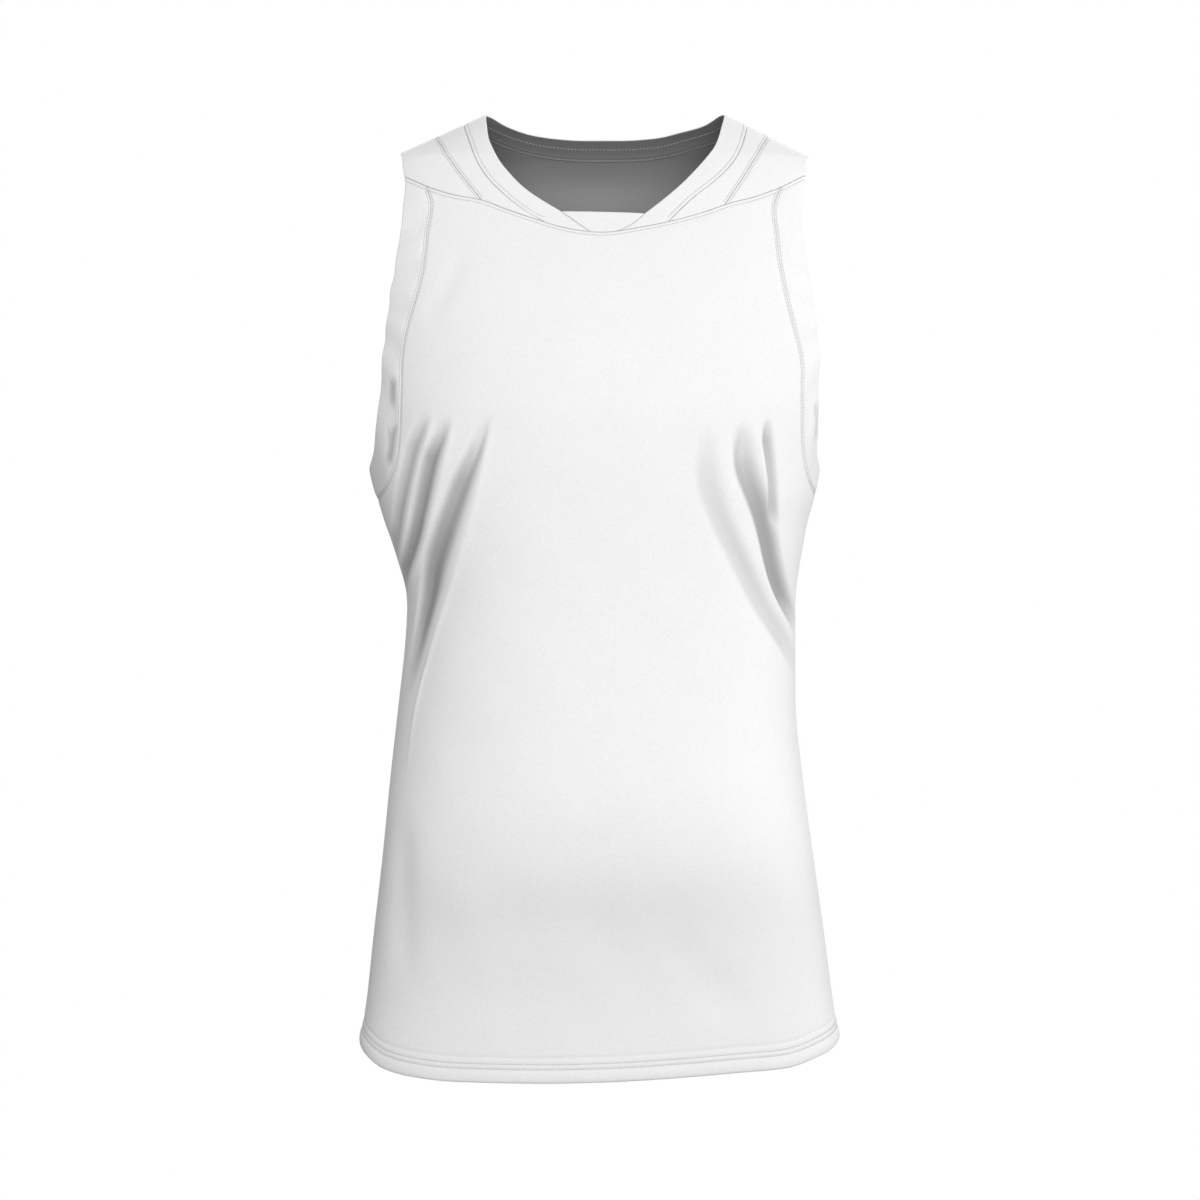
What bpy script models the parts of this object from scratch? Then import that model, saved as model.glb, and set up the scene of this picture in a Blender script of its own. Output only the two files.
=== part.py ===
"""Basketball jersey, filled out as it is worn, with nobody in it.

Every cut and sewn piece is a thin closed wall of its own. All the walls lie on
one body form, a stack of rounded level rings, and meet 0.3 mm apart at the seams.
Metres, +Z up, the front faces -Y. The origin is the middle of the shoulder line,
level with the two high shoulder points where the garment is held.

Curves on the front are given as (across, up) in millimetres, as they read in a
straight view from the front, and are carried onto the form along the line of sight.
"""
import math

import bpy
import numpy as np

# Cloth
WALL = 0.0015          # one layer of cloth
HEM_WALL = 0.0030      # the hem is turned up, two layers
HEM_DEPTH = 0.020      # height of the turned hem
SEAM_GAP = 0.0003      # between two pieces that are sewn together
NECKBAND_WIDTH = 0.021
RING_POWER = 2.2       # squareness of the level rings, 2 is an ellipse

# Straight view from the front that the front curves are measured in
SIGHT_DISTANCE = 4.5
SIGHT_X = -0.0016
SIGHT_Z = -0.3872

# Level rings of the form: height, half width left and right, depth front and back
RINGS = [
    (0.0120, 0.0679, 0.0760, 0.0180, 0.0260),
    (0.0000, 0.0945, 0.1000, 0.0260, 0.0360),
    (-0.0080, 0.1122, 0.1160, 0.0320, 0.0505),
    (-0.0143, 0.1262, 0.1286, 0.0370, 0.0600),
    (-0.0292, 0.1592, 0.1584, 0.0480, 0.0735),
    (-0.0340, 0.1698, 0.1680, 0.0512, 0.0760),
    (-0.0540, 0.1800, 0.1836, 0.0630, 0.0850),
    (-0.0770, 0.1880, 0.1890, 0.0730, 0.0915),
    (-0.1025, 0.1920, 0.1906, 0.0850, 0.0980),
    (-0.1500, 0.1924, 0.1908, 0.1040, 0.1050),
    (-0.1820, 0.1917, 0.1904, 0.1130, 0.1075),
    (-0.2130, 0.1910, 0.1875, 0.1190, 0.1080),
    (-0.2450, 0.1893, 0.1815, 0.1228, 0.1068),
    (-0.2760, 0.1866, 0.1745, 0.1228, 0.1035),
    (-0.2912, 0.1840, 0.1720, 0.1222, 0.1012),
    (-0.3072, 0.1790, 0.1696, 0.1216, 0.0985),
    (-0.3232, 0.1744, 0.1642, 0.1208, 0.0958),
    (-0.3392, 0.1684, 0.1616, 0.1200, 0.0930),
    (-0.3552, 0.1634, 0.1586, 0.1192, 0.0905),
    (-0.3872, 0.1556, 0.1544, 0.1180, 0.0860),
    (-0.4192, 0.1572, 0.1544, 0.1172, 0.0830),
    (-0.4672, 0.1624, 0.1546, 0.1168, 0.0830),
    (-0.5312, 0.1694, 0.1608, 0.1162, 0.0890),
    (-0.5952, 0.1758, 0.1694, 0.1095, 0.0985),
    (-0.6592, 0.1832, 0.1784, 0.0950, 0.1060),
    (-0.7072, 0.1882, 0.1846, 0.0900, 0.1095),
    (-0.7392, 0.1936, 0.1900, 0.0900, 0.1125),
    (-0.7700, 0.1975, 0.1935, 0.0910, 0.1150),
]

# Armholes, seen from the side about the middle of the hole: angle from straight
# down (front positive), radius of the edge, radius of the seam of the band
ARMHOLE_MID = -0.156
ARMHOLE_LEFT = [
    (180, 0.1268, 0.1360),
    (172, 0.1246, 0.1290),
    (165, 0.1137, 0.1190),
    (150, 0.0887, 0.1010),
    (135, 0.0724, 0.0852),
    (120, 0.0627, 0.0771),
    (105, 0.0573, 0.0732),
    (90, 0.0560, 0.0718),
    (75, 0.0580, 0.0738),
    (60, 0.0633, 0.0820),
    (45, 0.0757, 0.1028),
    (35, 0.0880, 0.1238),
    (25, 0.1045, 0.1445),
    (15, 0.1190, 0.1510),
    (0, 0.1270, 0.1515),
    (-15, 0.1205, 0.1470),
    (-30, 0.0980, 0.1285),
    (-45, 0.0785, 0.1035),
    (-60, 0.0665, 0.0880),
    (-75, 0.0612, 0.0815),
    (-90, 0.0600, 0.0800),
    (-105, 0.0622, 0.0815),
    (-120, 0.0690, 0.0875),
    (-133, 0.0815, 0.0990),
    (-146, 0.0980, 0.1160),
    (-156, 0.1128, 0.1290),
    (-168, 0.1266, 0.1375),
    (-180, 0.1268, 0.1360),
]
ARMHOLE_RIGHT = [
    (180, 0.1244, 0.1336),
    (172, 0.1213, 0.1270),
    (165, 0.1120, 0.1180),
    (150, 0.0887, 0.1010),
    (135, 0.0724, 0.0852),
    (120, 0.0627, 0.0768),
    (105, 0.0573, 0.0728),
    (90, 0.0560, 0.0723),
    (75, 0.0580, 0.0750),
    (60, 0.0633, 0.0806),
    (45, 0.0757, 0.0975),
    (35, 0.0880, 0.1135),
    (25, 0.1045, 0.1313),
    (15, 0.1190, 0.1440),
    (0, 0.1270, 0.1480),
    (-15, 0.1205, 0.1440),
    (-30, 0.0980, 0.1270),
    (-45, 0.0785, 0.1035),
    (-60, 0.0665, 0.0880),
    (-75, 0.0612, 0.0815),
    (-90, 0.0600, 0.0800),
    (-105, 0.0622, 0.0815),
    (-120, 0.0690, 0.0875),
    (-133, 0.0815, 0.0990),
    (-146, 0.0978, 0.1155),
    (-156, 0.1120, 0.1280),
    (-168, 0.1250, 0.1355),
    (-180, 0.1244, 0.1336),
]

# Front seams and edges, in the straight view: across, up, in millimetres
YOKE_SEAM = [
    (-158.4, -48.4), (-137.6, -57.2), (-117.6, -63.2), (-97.6, -66.4), (-77.6, -74.0),
    (-53.6, -82.0), (-29.6, -89.2), (-8.0, -92.4), (2.4, -92.8), (22.4, -90.0),
    (52.0, -84.4), (82.4, -76.4), (102.4, -69.2), (118.4, -65.6), (142.4, -57.2),
    (161.6, -47.6),
]
DIAGONAL_LEFT = [(-134.4, -18.4), (-116.0, -42.4), (-97.6, -69.2)]
DIAGONAL_RIGHT = [(133.6, -19.2), (116.0, -44.0), (99.2, -72.6)]
NECK_SEAM_LEFT = [(-110.4, -8.0), (-101.6, -32.8), (-92.0, -48.8), (-77.6, -63.2),
                  (-65.6, -72.8), (-47.2, -86.4)]
NECK_SEAM_RIGHT = [(115.7, -10.0), (113.4, -19.5), (108.4, -31.5), (102.4, -40.0),
                   (90.8, -51.2), (72.8, -65.0), (52.4, -82.2)]
NECK_EDGE_LEFT = [(-92.0, 0.8), (-91.2, -16.0), (-87.2, -25.6), (-82.4, -35.2),
                  (-74.4, -44.8), (-65.6, -54.4), (-52.8, -64.0), (-32.8, -76.0)]
NECK_EDGE_RIGHT = [(97.6, 1.2), (93.6, -16.0), (90.4, -24.0), (81.6, -35.2),
                   (72.8, -44.8), (63.2, -54.4), (52.0, -64.0), (34.4, -77.6)]
INSERT_LEFT = [(-32.8, -76.0), (-16.8, -87.2), (-9.6, -95.0)]
INSERT_RIGHT = [(34.4, -77.6), (22.4, -87.2), (12.8, -94.4)]
BACK_NECK_EDGE = [(-92.0, 0.8), (-77.6, -7.2), (-57.6, -14.4), (-37.6, -17.6),
                  (-13.6, -19.2), (14.4, -19.2), (42.4, -17.6), (62.4, -12.8),
                  (82.4, -7.2), (97.6, 1.2)]
HEM_FRONT = [
    (-193.6, -738.0), (-188.8, -752.0), (-175.2, -762.4), (-152.8, -768.8),
    (-118.4, -772.8), (-49.6, -774.4), (-4.0, -773.6), (30.4, -772.0), (64.8, -769.6),
    (110.4, -765.6), (144.8, -762.4), (174.4, -752.0), (188.0, -742.4), (190.4, -736.0),
]
HEM_SIDE_LEFT = -0.7384
HEM_SIDE_RIGHT = -0.7360
BACK_HEM_DROP = 0.9    # the back hem hangs this share as far below the sides

# Largest folds: start, middle and end (across, up) in millimetres, half width, depth
# (a trough is negative, a ridge positive), side of the garment
FOLDS = [
    ("soft trough left", (-146, -227), (-158, -291), (-171, -323), 8.0, -3.0, "front"),
    ("first ridge left", (-134, -237), (-146, -283), (-159, -355), 7.0, 3.0, "front"),
    ("second trough left", (-124, -243), (-138, -291), (-154, -358), 6.5, -3.5, "front"),
    ("second ridge left", (-118, -242), (-128, -286), (-152, -386), 7.0, 3.0, "front"),
    ("deep trough left", (-88, -241), (-119, -315), (-157, -435), 11.0, -5.5, "front"),
    ("long ridge left", (-84, -240), (-106, -330), (-157, -523), 9.0, 3.0, "front"),
    ("hip trough left", (-158, -547), (-159, -627), (-158, -707), 14.0, -2.5, "front"),
    ("soft trough right", (74, -246), (110, -358), (154, -471), 11.0, -3.0, "front"),
    ("first ridge right", (94, -251), (120, -342), (154, -438), 8.0, 2.5, "front"),
    ("deep trough right", (106, -246), (134, -350), (154, -431), 8.0, -4.5, "front"),
    ("second ridge right", (126, -246), (141, -323), (153, -382), 6.5, 3.0, "front"),
    ("short trough right", (131, -244), (139, -279), (142, -315), 6.0, -2.5, "front"),
    ("back trough left", (-92, -250), (-122, -325), (-150, -440), 11.0, -4.5, "back"),
    ("back ridge left", (-112, -248), (-136, -310), (-152, -380), 8.0, 3.0, "back"),
    ("back hollow left", (-60, -330), (-86, -420), (-128, -520), 16.0, -3.0, "back"),
    ("back trough right", (96, -250), (124, -330), (148, -430), 10.0, -4.5, "back"),
    ("back ridge right", (114, -246), (136, -305), (150, -370), 8.0, 3.0, "back"),
    ("back hollow right", (64, -340), (92, -425), (126, -510), 15.0, -3.0, "back"),
]

# Pieces: steps across and along for each grid
STEPS_BAND = 3         # across an armhole band
STEPS_YOKE = 11        # yoke seam, from the band seam to the diagonal seam
STEPS_STRIP = 7        # yoke seam, from the diagonal seam to the neckband
STEPS_NECKBAND = 4     # across the neckband
STEPS_INSERT = 2       # across the bottom of the neck insert
STEPS_NECK_FRONT = 6   # neckband, from the insert's corner to the shoulder
STEPS_NECK_TIP = 2     # neckband, beside the insert
STEPS_NECK_BACK = 24   # neckband, round the back
STEPS_ARMHOLE = 14     # each of the front and the back of an armhole
STEPS_UNDERARM = 4     # of those, the ones along the bottom of the armhole
STEPS_SIDE = 15        # side seam, down to the hem
STEPS_SHOULDER = 3     # back panel, along a shoulder

WHITE = (0.90, 0.90, 0.91, 1.0)


def eased(xs, values):
    """A smooth curve through the values that never overshoots them."""
    xs = np.asarray(xs, float)
    values = np.asarray(values, float)
    if xs[0] > xs[-1]:
        xs, values = xs[::-1], values[::-1]
    step = np.diff(xs)
    slope = (np.diff(values, axis=0).T / step).T
    tangent = np.zeros_like(values)
    tangent[0], tangent[-1] = slope[0], slope[-1]
    before, after = slope[:-1], slope[1:]
    agree = before * after > 0
    total = np.where(agree, before + after, 1.0)
    tangent[1:-1] = np.where(agree, 2 * before * after / total, 0.0)

    def at(x):
        x = np.asarray(x, float)
        i = np.clip(np.searchsorted(xs, x) - 1, 0, len(xs) - 2)
        t = (x - xs[i]) / step[i]
        width = step[i]
        if values.ndim > 1:
            t, width = t[..., None], width[..., None]
        u = np.clip(t, 0.0, 1.0)
        inside = ((2 * u ** 3 - 3 * u ** 2 + 1) * values[i]
                  + (u ** 3 - 2 * u ** 2 + u) * width * tangent[i]
                  + (3 * u ** 2 - 2 * u ** 3) * values[i + 1]
                  + (u ** 3 - u ** 2) * width * tangent[i + 1])
        before_start = np.minimum(t, 0.0) * width * tangent[i]
        past_end = np.maximum(t - 1.0, 0.0) * width * tangent[i + 1]
        return inside + before_start + past_end
    return at


ring_at = eased([row[0] for row in RINGS], [row[1:] for row in RINGS])


def reach(p):
    """Half width and depth of the ring at each point, on the point's own side."""
    ring = ring_at(p[..., 2])
    across = np.where(p[..., 0] < 0, ring[..., 0], ring[..., 1])
    deep = np.where(p[..., 1] < 0, ring[..., 2], ring[..., 3])
    return across, deep


def level(p):
    """Below 0 inside the form, 0 on it and above 0 outside."""
    across, deep = reach(p)
    return (np.abs(p[..., 0]) / across) ** RING_POWER + (np.abs(p[..., 1]) / deep) ** RING_POWER - 1


def slope_of(p):
    """Direction in which the level rises fastest, and how fast."""
    small = 2e-4
    out = np.zeros_like(p)
    for axis in range(3):
        move = np.zeros(3)
        move[axis] = small
        out[..., axis] = (level(p + move) - level(p - move)) / (2 * small)
    return out


def outward(p):
    g = slope_of(p)
    return g / np.linalg.norm(g, axis=-1, keepdims=True)


def settle(p):
    """Carry points straight onto the form."""
    p = np.array(p, float)
    for _ in range(12):
        g = slope_of(p)
        step = (level(p) / np.maximum((g * g).sum(-1), 1e-9))[..., None] * g
        size = np.linalg.norm(step, axis=-1, keepdims=True)
        p = p - step * np.minimum(1.0, 0.02 / np.maximum(size, 1e-9))
    return p


def depth_at(x, z, back=False):
    """How far back from the shoulder line the form is at (x, z)."""
    ring = ring_at(z)
    across = np.where(np.asarray(x) < 0, ring[..., 0], ring[..., 1])
    share = 1 - np.minimum(1.0, (np.abs(x) / across)) ** RING_POWER
    deep = share ** (1 / RING_POWER)
    return ring[..., 3] * deep if back else -ring[..., 2] * deep


def seen(points, back=False):
    """Points read in the straight view, in millimetres, carried onto the form."""
    points = np.asarray(points, float) / 1000
    x, z = points[..., 0], points[..., 1]
    for _ in range(12):
        y = depth_at(x, z, back)
        near = (SIGHT_DISTANCE + y) / SIGHT_DISTANCE
        x = SIGHT_X + (points[..., 0] - SIGHT_X) * near
        z = SIGHT_Z + (points[..., 1] - SIGHT_Z) * near
    return np.stack([x, depth_at(x, z, back), z], -1)


def along(points, shares):
    """Points at the given shares of the way along a smooth curve."""
    points = np.asarray(points, float)
    run = np.concatenate([[0], np.cumsum(np.linalg.norm(np.diff(points, axis=0), axis=1))])
    curve = eased(run, points)
    fine = curve(np.linspace(0, run[-1], 400))
    fine_run = np.concatenate([[0], np.cumsum(np.linalg.norm(np.diff(fine, axis=0), axis=1))])
    wanted = np.asarray(shares) * fine_run[-1]
    return np.stack([np.interp(wanted, fine_run, fine[:, k]) for k in range(3)], -1)


def shares(count):
    return np.linspace(0.0, 1.0, count + 1)


def share_of_run(points):
    """Share of the way along a line of points, at each point."""
    run = np.cumsum(np.linalg.norm(np.diff(points, axis=0), axis=1))
    return np.concatenate([[0], run]) / run[-1]


def fold_lift(p):
    """How far the folds lift the cloth off the form at each point."""
    lift = np.zeros(p.shape[:-1])
    for _, start, middle, end, half_width, depth, side in FOLDS:
        bend = [(1 - t) ** 2 * np.array(start) + 2 * t * (1 - t)
                * (2 * np.array(middle) - (np.array(start) + np.array(end)) / 2)
                + t ** 2 * np.array(end) for t in np.linspace(0, 1, 13)]
        line = seen(bend, side == "back")
        nearest = np.full(lift.shape, 1e9)
        where = np.zeros(lift.shape)
        for k in range(len(line) - 1):
            a, ab = line[k], line[k + 1] - line[k]
            t = np.clip(((p - a) @ ab) / (ab @ ab), 0, 1)
            gap = np.linalg.norm(p - (a + t[..., None] * ab), axis=-1)
            closer = gap < nearest
            nearest = np.where(closer, gap, nearest)
            where = np.where(closer, (k + t) / (len(line) - 1), where)
        fade = np.sin(np.pi * np.clip(0.12 + 0.80 * where, 0, 1)) ** 0.8
        lift += depth / 1000 * fade * np.exp(-(nearest * 1000 / half_width) ** 2)
    return lift


def on_armhole(table, angles, column, side):
    """Points of an armhole's edge (column 1) or band seam (column 2), on the form."""
    radius = eased([row[0] for row in table], [row[column] for row in table])(angles)
    turn = np.radians(angles)
    y = -radius * np.sin(turn)
    z = ARMHOLE_MID - radius * np.cos(turn)
    ring = ring_at(z)
    deep = np.where(y < 0, ring[..., 2], ring[..., 3])
    across = ring[..., 0] if side < 0 else ring[..., 1]
    x = across * (1 - np.minimum(1, np.abs(y) / deep) ** RING_POWER) ** (1 / RING_POWER)
    return np.stack([side * x, y, z], -1)


def round_armhole(table, first, last, column, side, stops):
    """Evenly spread points of an armhole's edge or seam between two angles."""
    return along(on_armhole(table, np.linspace(first, last, 240), column, side), stops)


def fill(top, bottom, left, right):
    """Grid of points on the form between four edges that share their corners."""
    v = (share_of_run(left) + share_of_run(right))[:, None, None] / 2
    s = np.linspace(0, 1, len(top))[None, :, None]
    corners = ((1 - v) * (1 - s) * top[0] + (1 - v) * s * top[-1]
               + v * (1 - s) * bottom[0] + v * s * bottom[-1])
    grid = ((1 - v) * top[None] + v * bottom[None]
            + (1 - s) * left[:, None] + s * right[:, None] - corners)
    grid = settle(grid)
    grid[0], grid[-1], grid[:, 0], grid[:, -1] = top, bottom, left, right
    return grid


def wall(name, grids, thick_below=None):
    """A closed wall of cloth on one or more grids that share an edge, one object.

    Its sewn and cut edges are drawn in by half the seam gap. Rows of the last grid
    from thick_below on are the turned hem, with two layers of cloth.
    """
    index, base, faces, layers = {}, [], [], []
    for k, grid in enumerate(grids):
        rows, cols = grid.shape[:2]
        ids = np.zeros((rows, cols), int)
        for r in range(rows):
            hem = thick_below is not None and k == len(grids) - 1 and r >= rows + thick_below
            for c in range(cols):
                key = tuple(np.round(grid[r, c] * 1e6).astype(int))
                if key not in index:
                    index[key] = len(base)
                    base.append(grid[r, c])
                    layers.append(HEM_WALL if hem else WALL)
                ids[r, c] = index[key]
        for r in range(rows - 1):
            for c in range(cols - 1):
                face = [ids[r, c], ids[r + 1, c], ids[r + 1, c + 1], ids[r, c + 1]]
                faces.append(face)
    base, layers = np.array(base), np.array(layers)
    normals = outward(base)
    first = faces[0]
    facing = np.cross(base[first[1]] - base[first[0]], base[first[3]] - base[first[0]])
    if facing @ normals[first[0]] < 0:
        faces = [face[::-1] for face in faces]
    outer = base + normals * fold_lift(base)[:, None]

    # edges with one face are the outline; each is drawn in across its own line
    sides = {}
    for face in faces:
        for i in range(4):
            sides[(face[i], face[(i + 1) % 4])] = True
    outline = [(i, j) for i, j in sides if (j, i) not in sides]
    ways = {}
    for i, j in outline:
        run = outer[j] - outer[i]
        way = np.cross(normals[i] + normals[j], run)
        way /= np.linalg.norm(way)
        ways.setdefault(i, []).append(way)
        ways.setdefault(j, []).append(way)
    for i, (one, two) in ways.items():
        outer[i] += (one + two) / max(1 + one @ two, 0.4) * SEAM_GAP / 2
    inner = outer - normals * layers[:, None]

    count = len(outer)
    verts = [tuple(map(float, v)) for v in np.concatenate([outer, inner])]
    shell = [tuple(map(int, face)) for face in faces]
    shell += [tuple(int(count + i) for i in reversed(face)) for face in faces]
    shell += [(int(i), int(count + i), int(count + j), int(j)) for i, j in outline]
    mesh = bpy.data.meshes.new(name)
    mesh.from_pydata(verts, [], shell)
    mesh.update()
    mesh.materials.append(cloth(name))
    mesh.shade_smooth()
    mesh.set_sharp_from_angle(angle=math.radians(50))
    piece = bpy.data.objects.new(name, mesh)
    bpy.context.scene.collection.objects.link(piece)
    return piece


def level_line(a, b, count, back=False):
    """Line on the front or the back of the form from one point to another."""
    def turn_of(p):
        across, _ = reach(np.array(p))
        ratio = min(1.0, abs(p[0]) / across) ** (RING_POWER / 2)
        return math.copysign(math.asin(ratio), p[0])
    t = shares(count)
    turn = turn_of(a) + (turn_of(b) - turn_of(a)) * t
    line = on_ring(turn, a[2] + (b[2] - a[2]) * t, back)
    line[0], line[-1] = a, b
    return line


def on_ring(turn, z, back=False):
    """Points of the level rings at an angle round from the middle of the front or back."""
    ring = ring_at(z)
    across = np.where(turn < 0, ring[:, 0], ring[:, 1])
    deep = ring[:, 3] if back else -ring[:, 2]
    x = across * np.sign(turn) * np.abs(np.sin(turn)) ** (2 / RING_POWER)
    y = deep * np.abs(np.cos(turn)) ** (2 / RING_POWER)
    return np.stack([x, y, z], -1)


def cloth(name):
    material = bpy.data.materials.new(name + "_cloth")
    material.use_nodes = True
    shader = material.node_tree.nodes["Principled BSDF"]
    shader.inputs["Base Color"].default_value = WHITE
    shader.inputs["Roughness"].default_value = 0.6
    shader.inputs["Metallic"].default_value = 0.0
    return material


def stretch(points, breaks, counts):
    """Points along a curve with a set number of steps between the breaks."""
    stops = []
    for k, count in enumerate(counts):
        part = np.linspace(breaks[k], breaks[k + 1], count + 1)
        stops.extend(part if k == 0 else part[1:])
    return along(points, stops)


def share_near(points, target):
    """Share of the way along a curve where it passes closest to a point."""
    fine = along(points, np.linspace(0, 1, 2001))
    return np.argmin(np.linalg.norm(fine - target, axis=1)) / 2000


def joined(*runs):
    out = [runs[0]]
    for run in runs[1:]:
        out.append(run[1:])
    return np.concatenate(out)


def straight(a, b, count):
    t = shares(count)[:, None]
    return (1 - t) * a + t * b


def half(side):
    """Curves of one side of the garment; side is -1 on the left and 1 on the right."""
    left = side < 0
    table = ARMHOLE_LEFT if left else ARMHOLE_RIGHT
    yoke = seen(YOKE_SEAM if left else YOKE_SEAM[::-1])
    diagonal = seen(DIAGONAL_LEFT if left else DIAGONAL_RIGHT)
    neck_seam = seen(NECK_SEAM_LEFT if left else NECK_SEAM_RIGHT)
    insert = seen(INSERT_LEFT if left else INSERT_RIGHT)
    neck_edge = seen(NECK_EDGE_LEFT if left else NECK_EDGE_RIGHT)

    # shoulder line, straight from the armhole's tip to the high shoulder point
    tip = on_armhole(table, np.array(180.0), 1, side)
    band_top = on_armhole(table, np.array(180.0), 2, side)
    column = 0 if left else 1
    heights = np.arange(-0.14, 0.02, 0.0002)
    widths = ring_at(heights)[:, column]
    for point in (diagonal[0], neck_seam[0], neck_edge[0]):
        point[1] = 0.0
        point[2] = np.interp(-abs(point[0]), -widths, heights)
    for point in (band_top, tip):
        point[1] = 0.0
        point[0] = side * ring_at(point[2])[column]

    # front yoke seam, cut at each seam that meets it
    seam_angles = np.linspace(170, 130, 400)
    seam_line = on_armhole(table, seam_angles, 2, side)
    fine = along(yoke, np.linspace(0, 0.4, 1600))
    gaps = np.linalg.norm(seam_line[:, None] - fine[None], axis=-1)
    meet_seam, meet_yoke = np.unravel_index(np.argmin(gaps), gaps.shape)
    edge_angles = np.linspace(175, 150, 400)
    edge_line = on_armhole(table, edge_angles, 1, side)
    meet_edge = np.argmin(np.linalg.norm(edge_line - yoke[0], axis=1))
    yoke[0] = edge_line[meet_edge]
    breaks = [0.0, 0.4 * meet_yoke / 1599, share_near(yoke, diagonal[-1]),
              share_near(yoke, neck_seam[-1]), share_near(yoke, insert[-1])]
    counts = [STEPS_BAND, STEPS_YOKE, STEPS_STRIP, STEPS_NECKBAND]
    seam = settle(stretch(yoke, breaks, counts))
    cuts = np.cumsum([0] + counts)
    diagonal[-1], neck_seam[-1], insert[-1] = seam[cuts[2]], seam[cuts[3]], seam[cuts[4]]

    # armhole, front then back
    start_edge, start_seam = edge_angles[meet_edge], seam_angles[meet_seam]
    t = shares(STEPS_ARMHOLE)
    front_edge = round_armhole(table, start_edge, 0, 1, side, t)
    front_seam = round_armhole(table, start_seam, 0, 2, side, t)
    front_edge[0], front_seam[0] = seam[0], seam[cuts[1]]
    back_edge = round_armhole(table, 0, -180, 1, side, t)
    back_seam = round_armhole(table, 0, -180, 2, side, t)
    front_edge[-1] = back_edge[0]
    front_seam[-1] = back_seam[0]
    back_edge[-1], back_seam[-1] = tip, band_top
    rows = STEPS_NECK_TIP + STEPS_NECK_FRONT
    yoke_edge = round_armhole(table, 180, start_edge, 1, side, shares(rows))
    yoke_edge[0], yoke_edge[-1] = tip, seam[0]
    diagonal = settle(along(diagonal, shares(rows)))
    diagonal[0][1] = 0.0

    # neckband, front half from the yoke seam up to the shoulder
    outer = settle(along(neck_seam, shares(rows)))[::-1].copy()
    tip_part = settle(along(insert, shares(STEPS_NECK_TIP)))[::-1]
    upper_part = settle(along(neck_edge, shares(STEPS_NECK_FRONT)))[::-1]
    tip_part[0], upper_part[0] = seam[cuts[4]], tip_part[-1]
    inner = joined(tip_part, upper_part)
    return dict(tip=tip, band_top=band_top, seam=seam, cuts=cuts, diagonal=diagonal,
                front_edge=front_edge, front_seam=front_seam, back_edge=back_edge,
                back_seam=back_seam, yoke_edge=yoke_edge, neck_outer=outer,
                neck_inner=inner, insert_side=tip_part)


def hem_curve(count, back=False):
    """Hem from the left side seam to the right one."""
    turn = np.linspace(-math.pi / 2, math.pi / 2, count)
    points = seen(HEM_FRONT)
    across, _ = reach(points)
    ratio = np.clip(np.abs(points[:, 0]) / across, 0, 1) ** (RING_POWER / 2)
    angle = np.arcsin(ratio) * np.sign(points[:, 0])
    angle[0], angle[-1] = -math.pi / 2, math.pi / 2
    points[0, 2], points[-1, 2] = HEM_SIDE_LEFT, HEM_SIDE_RIGHT
    height = eased(angle, points[:, 2])(turn)
    base = np.interp(turn, [-math.pi / 2, math.pi / 2], [HEM_SIDE_LEFT, HEM_SIDE_RIGHT])
    line = on_ring(turn, base + (height - base) * (BACK_HEM_DROP if back else 1.0), back)
    line[0, 1] = line[-1, 1] = 0.0
    return line


def side_seam(side):
    """From the bottom of the armhole band down to the hem, with rows for the hem."""
    bottom = HEM_SIDE_LEFT if side < 0 else HEM_SIDE_RIGHT
    top = on_armhole(ARMHOLE_LEFT if side < 0 else ARMHOLE_RIGHT, np.array(0.0), 2, side)[2]
    z = np.concatenate([np.linspace(top, bottom + HEM_DEPTH + 0.002, STEPS_SIDE + 1),
                        [bottom + HEM_DEPTH, bottom + HEM_DEPTH / 2, bottom]])
    ring = ring_at(z)
    return np.stack([side * (ring[:, 0] if side < 0 else ring[:, 1]), 0 * z, z], -1)


# The model starts from an empty scene
for thing in list(bpy.data.objects):
    bpy.data.objects.remove(thing, do_unlink=True)

L, R = half(-1), half(1)
CUTS = L["cuts"]

# Neck insert, and the middle of the yoke seam under it
bottom_middle = settle(straight(L["seam"][-1], R["seam"][-1], STEPS_INSERT))
bottom_middle[0], bottom_middle[-1] = L["seam"][-1], R["seam"][-1]
top_edge = settle(straight(L["insert_side"][-1], R["insert_side"][-1], STEPS_INSERT))
TOP_FRONT = joined(L["seam"][CUTS[1]:], bottom_middle, R["seam"][CUTS[1]:][::-1])
wall("neck_insert", [fill(top_edge, bottom_middle, L["insert_side"][::-1],
                          R["insert_side"][::-1])])

# Yoke pieces and inner strips of both shoulders
for word, H in (("left", L), ("right", R)):
    shoulder = joined(straight(H["tip"], H["band_top"], STEPS_BAND),
                      straight(H["band_top"], H["diagonal"][0], STEPS_YOKE))
    wall("yoke_" + word, [fill(shoulder, H["seam"][:CUTS[2] + 1], H["yoke_edge"],
                               H["diagonal"])])
    shoulder = straight(H["diagonal"][0], H["neck_outer"][-1], STEPS_STRIP)
    wall("strip_" + word, [fill(shoulder, H["seam"][CUTS[2]:CUTS[3] + 1], H["diagonal"],
                                H["neck_outer"][::-1])])

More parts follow.
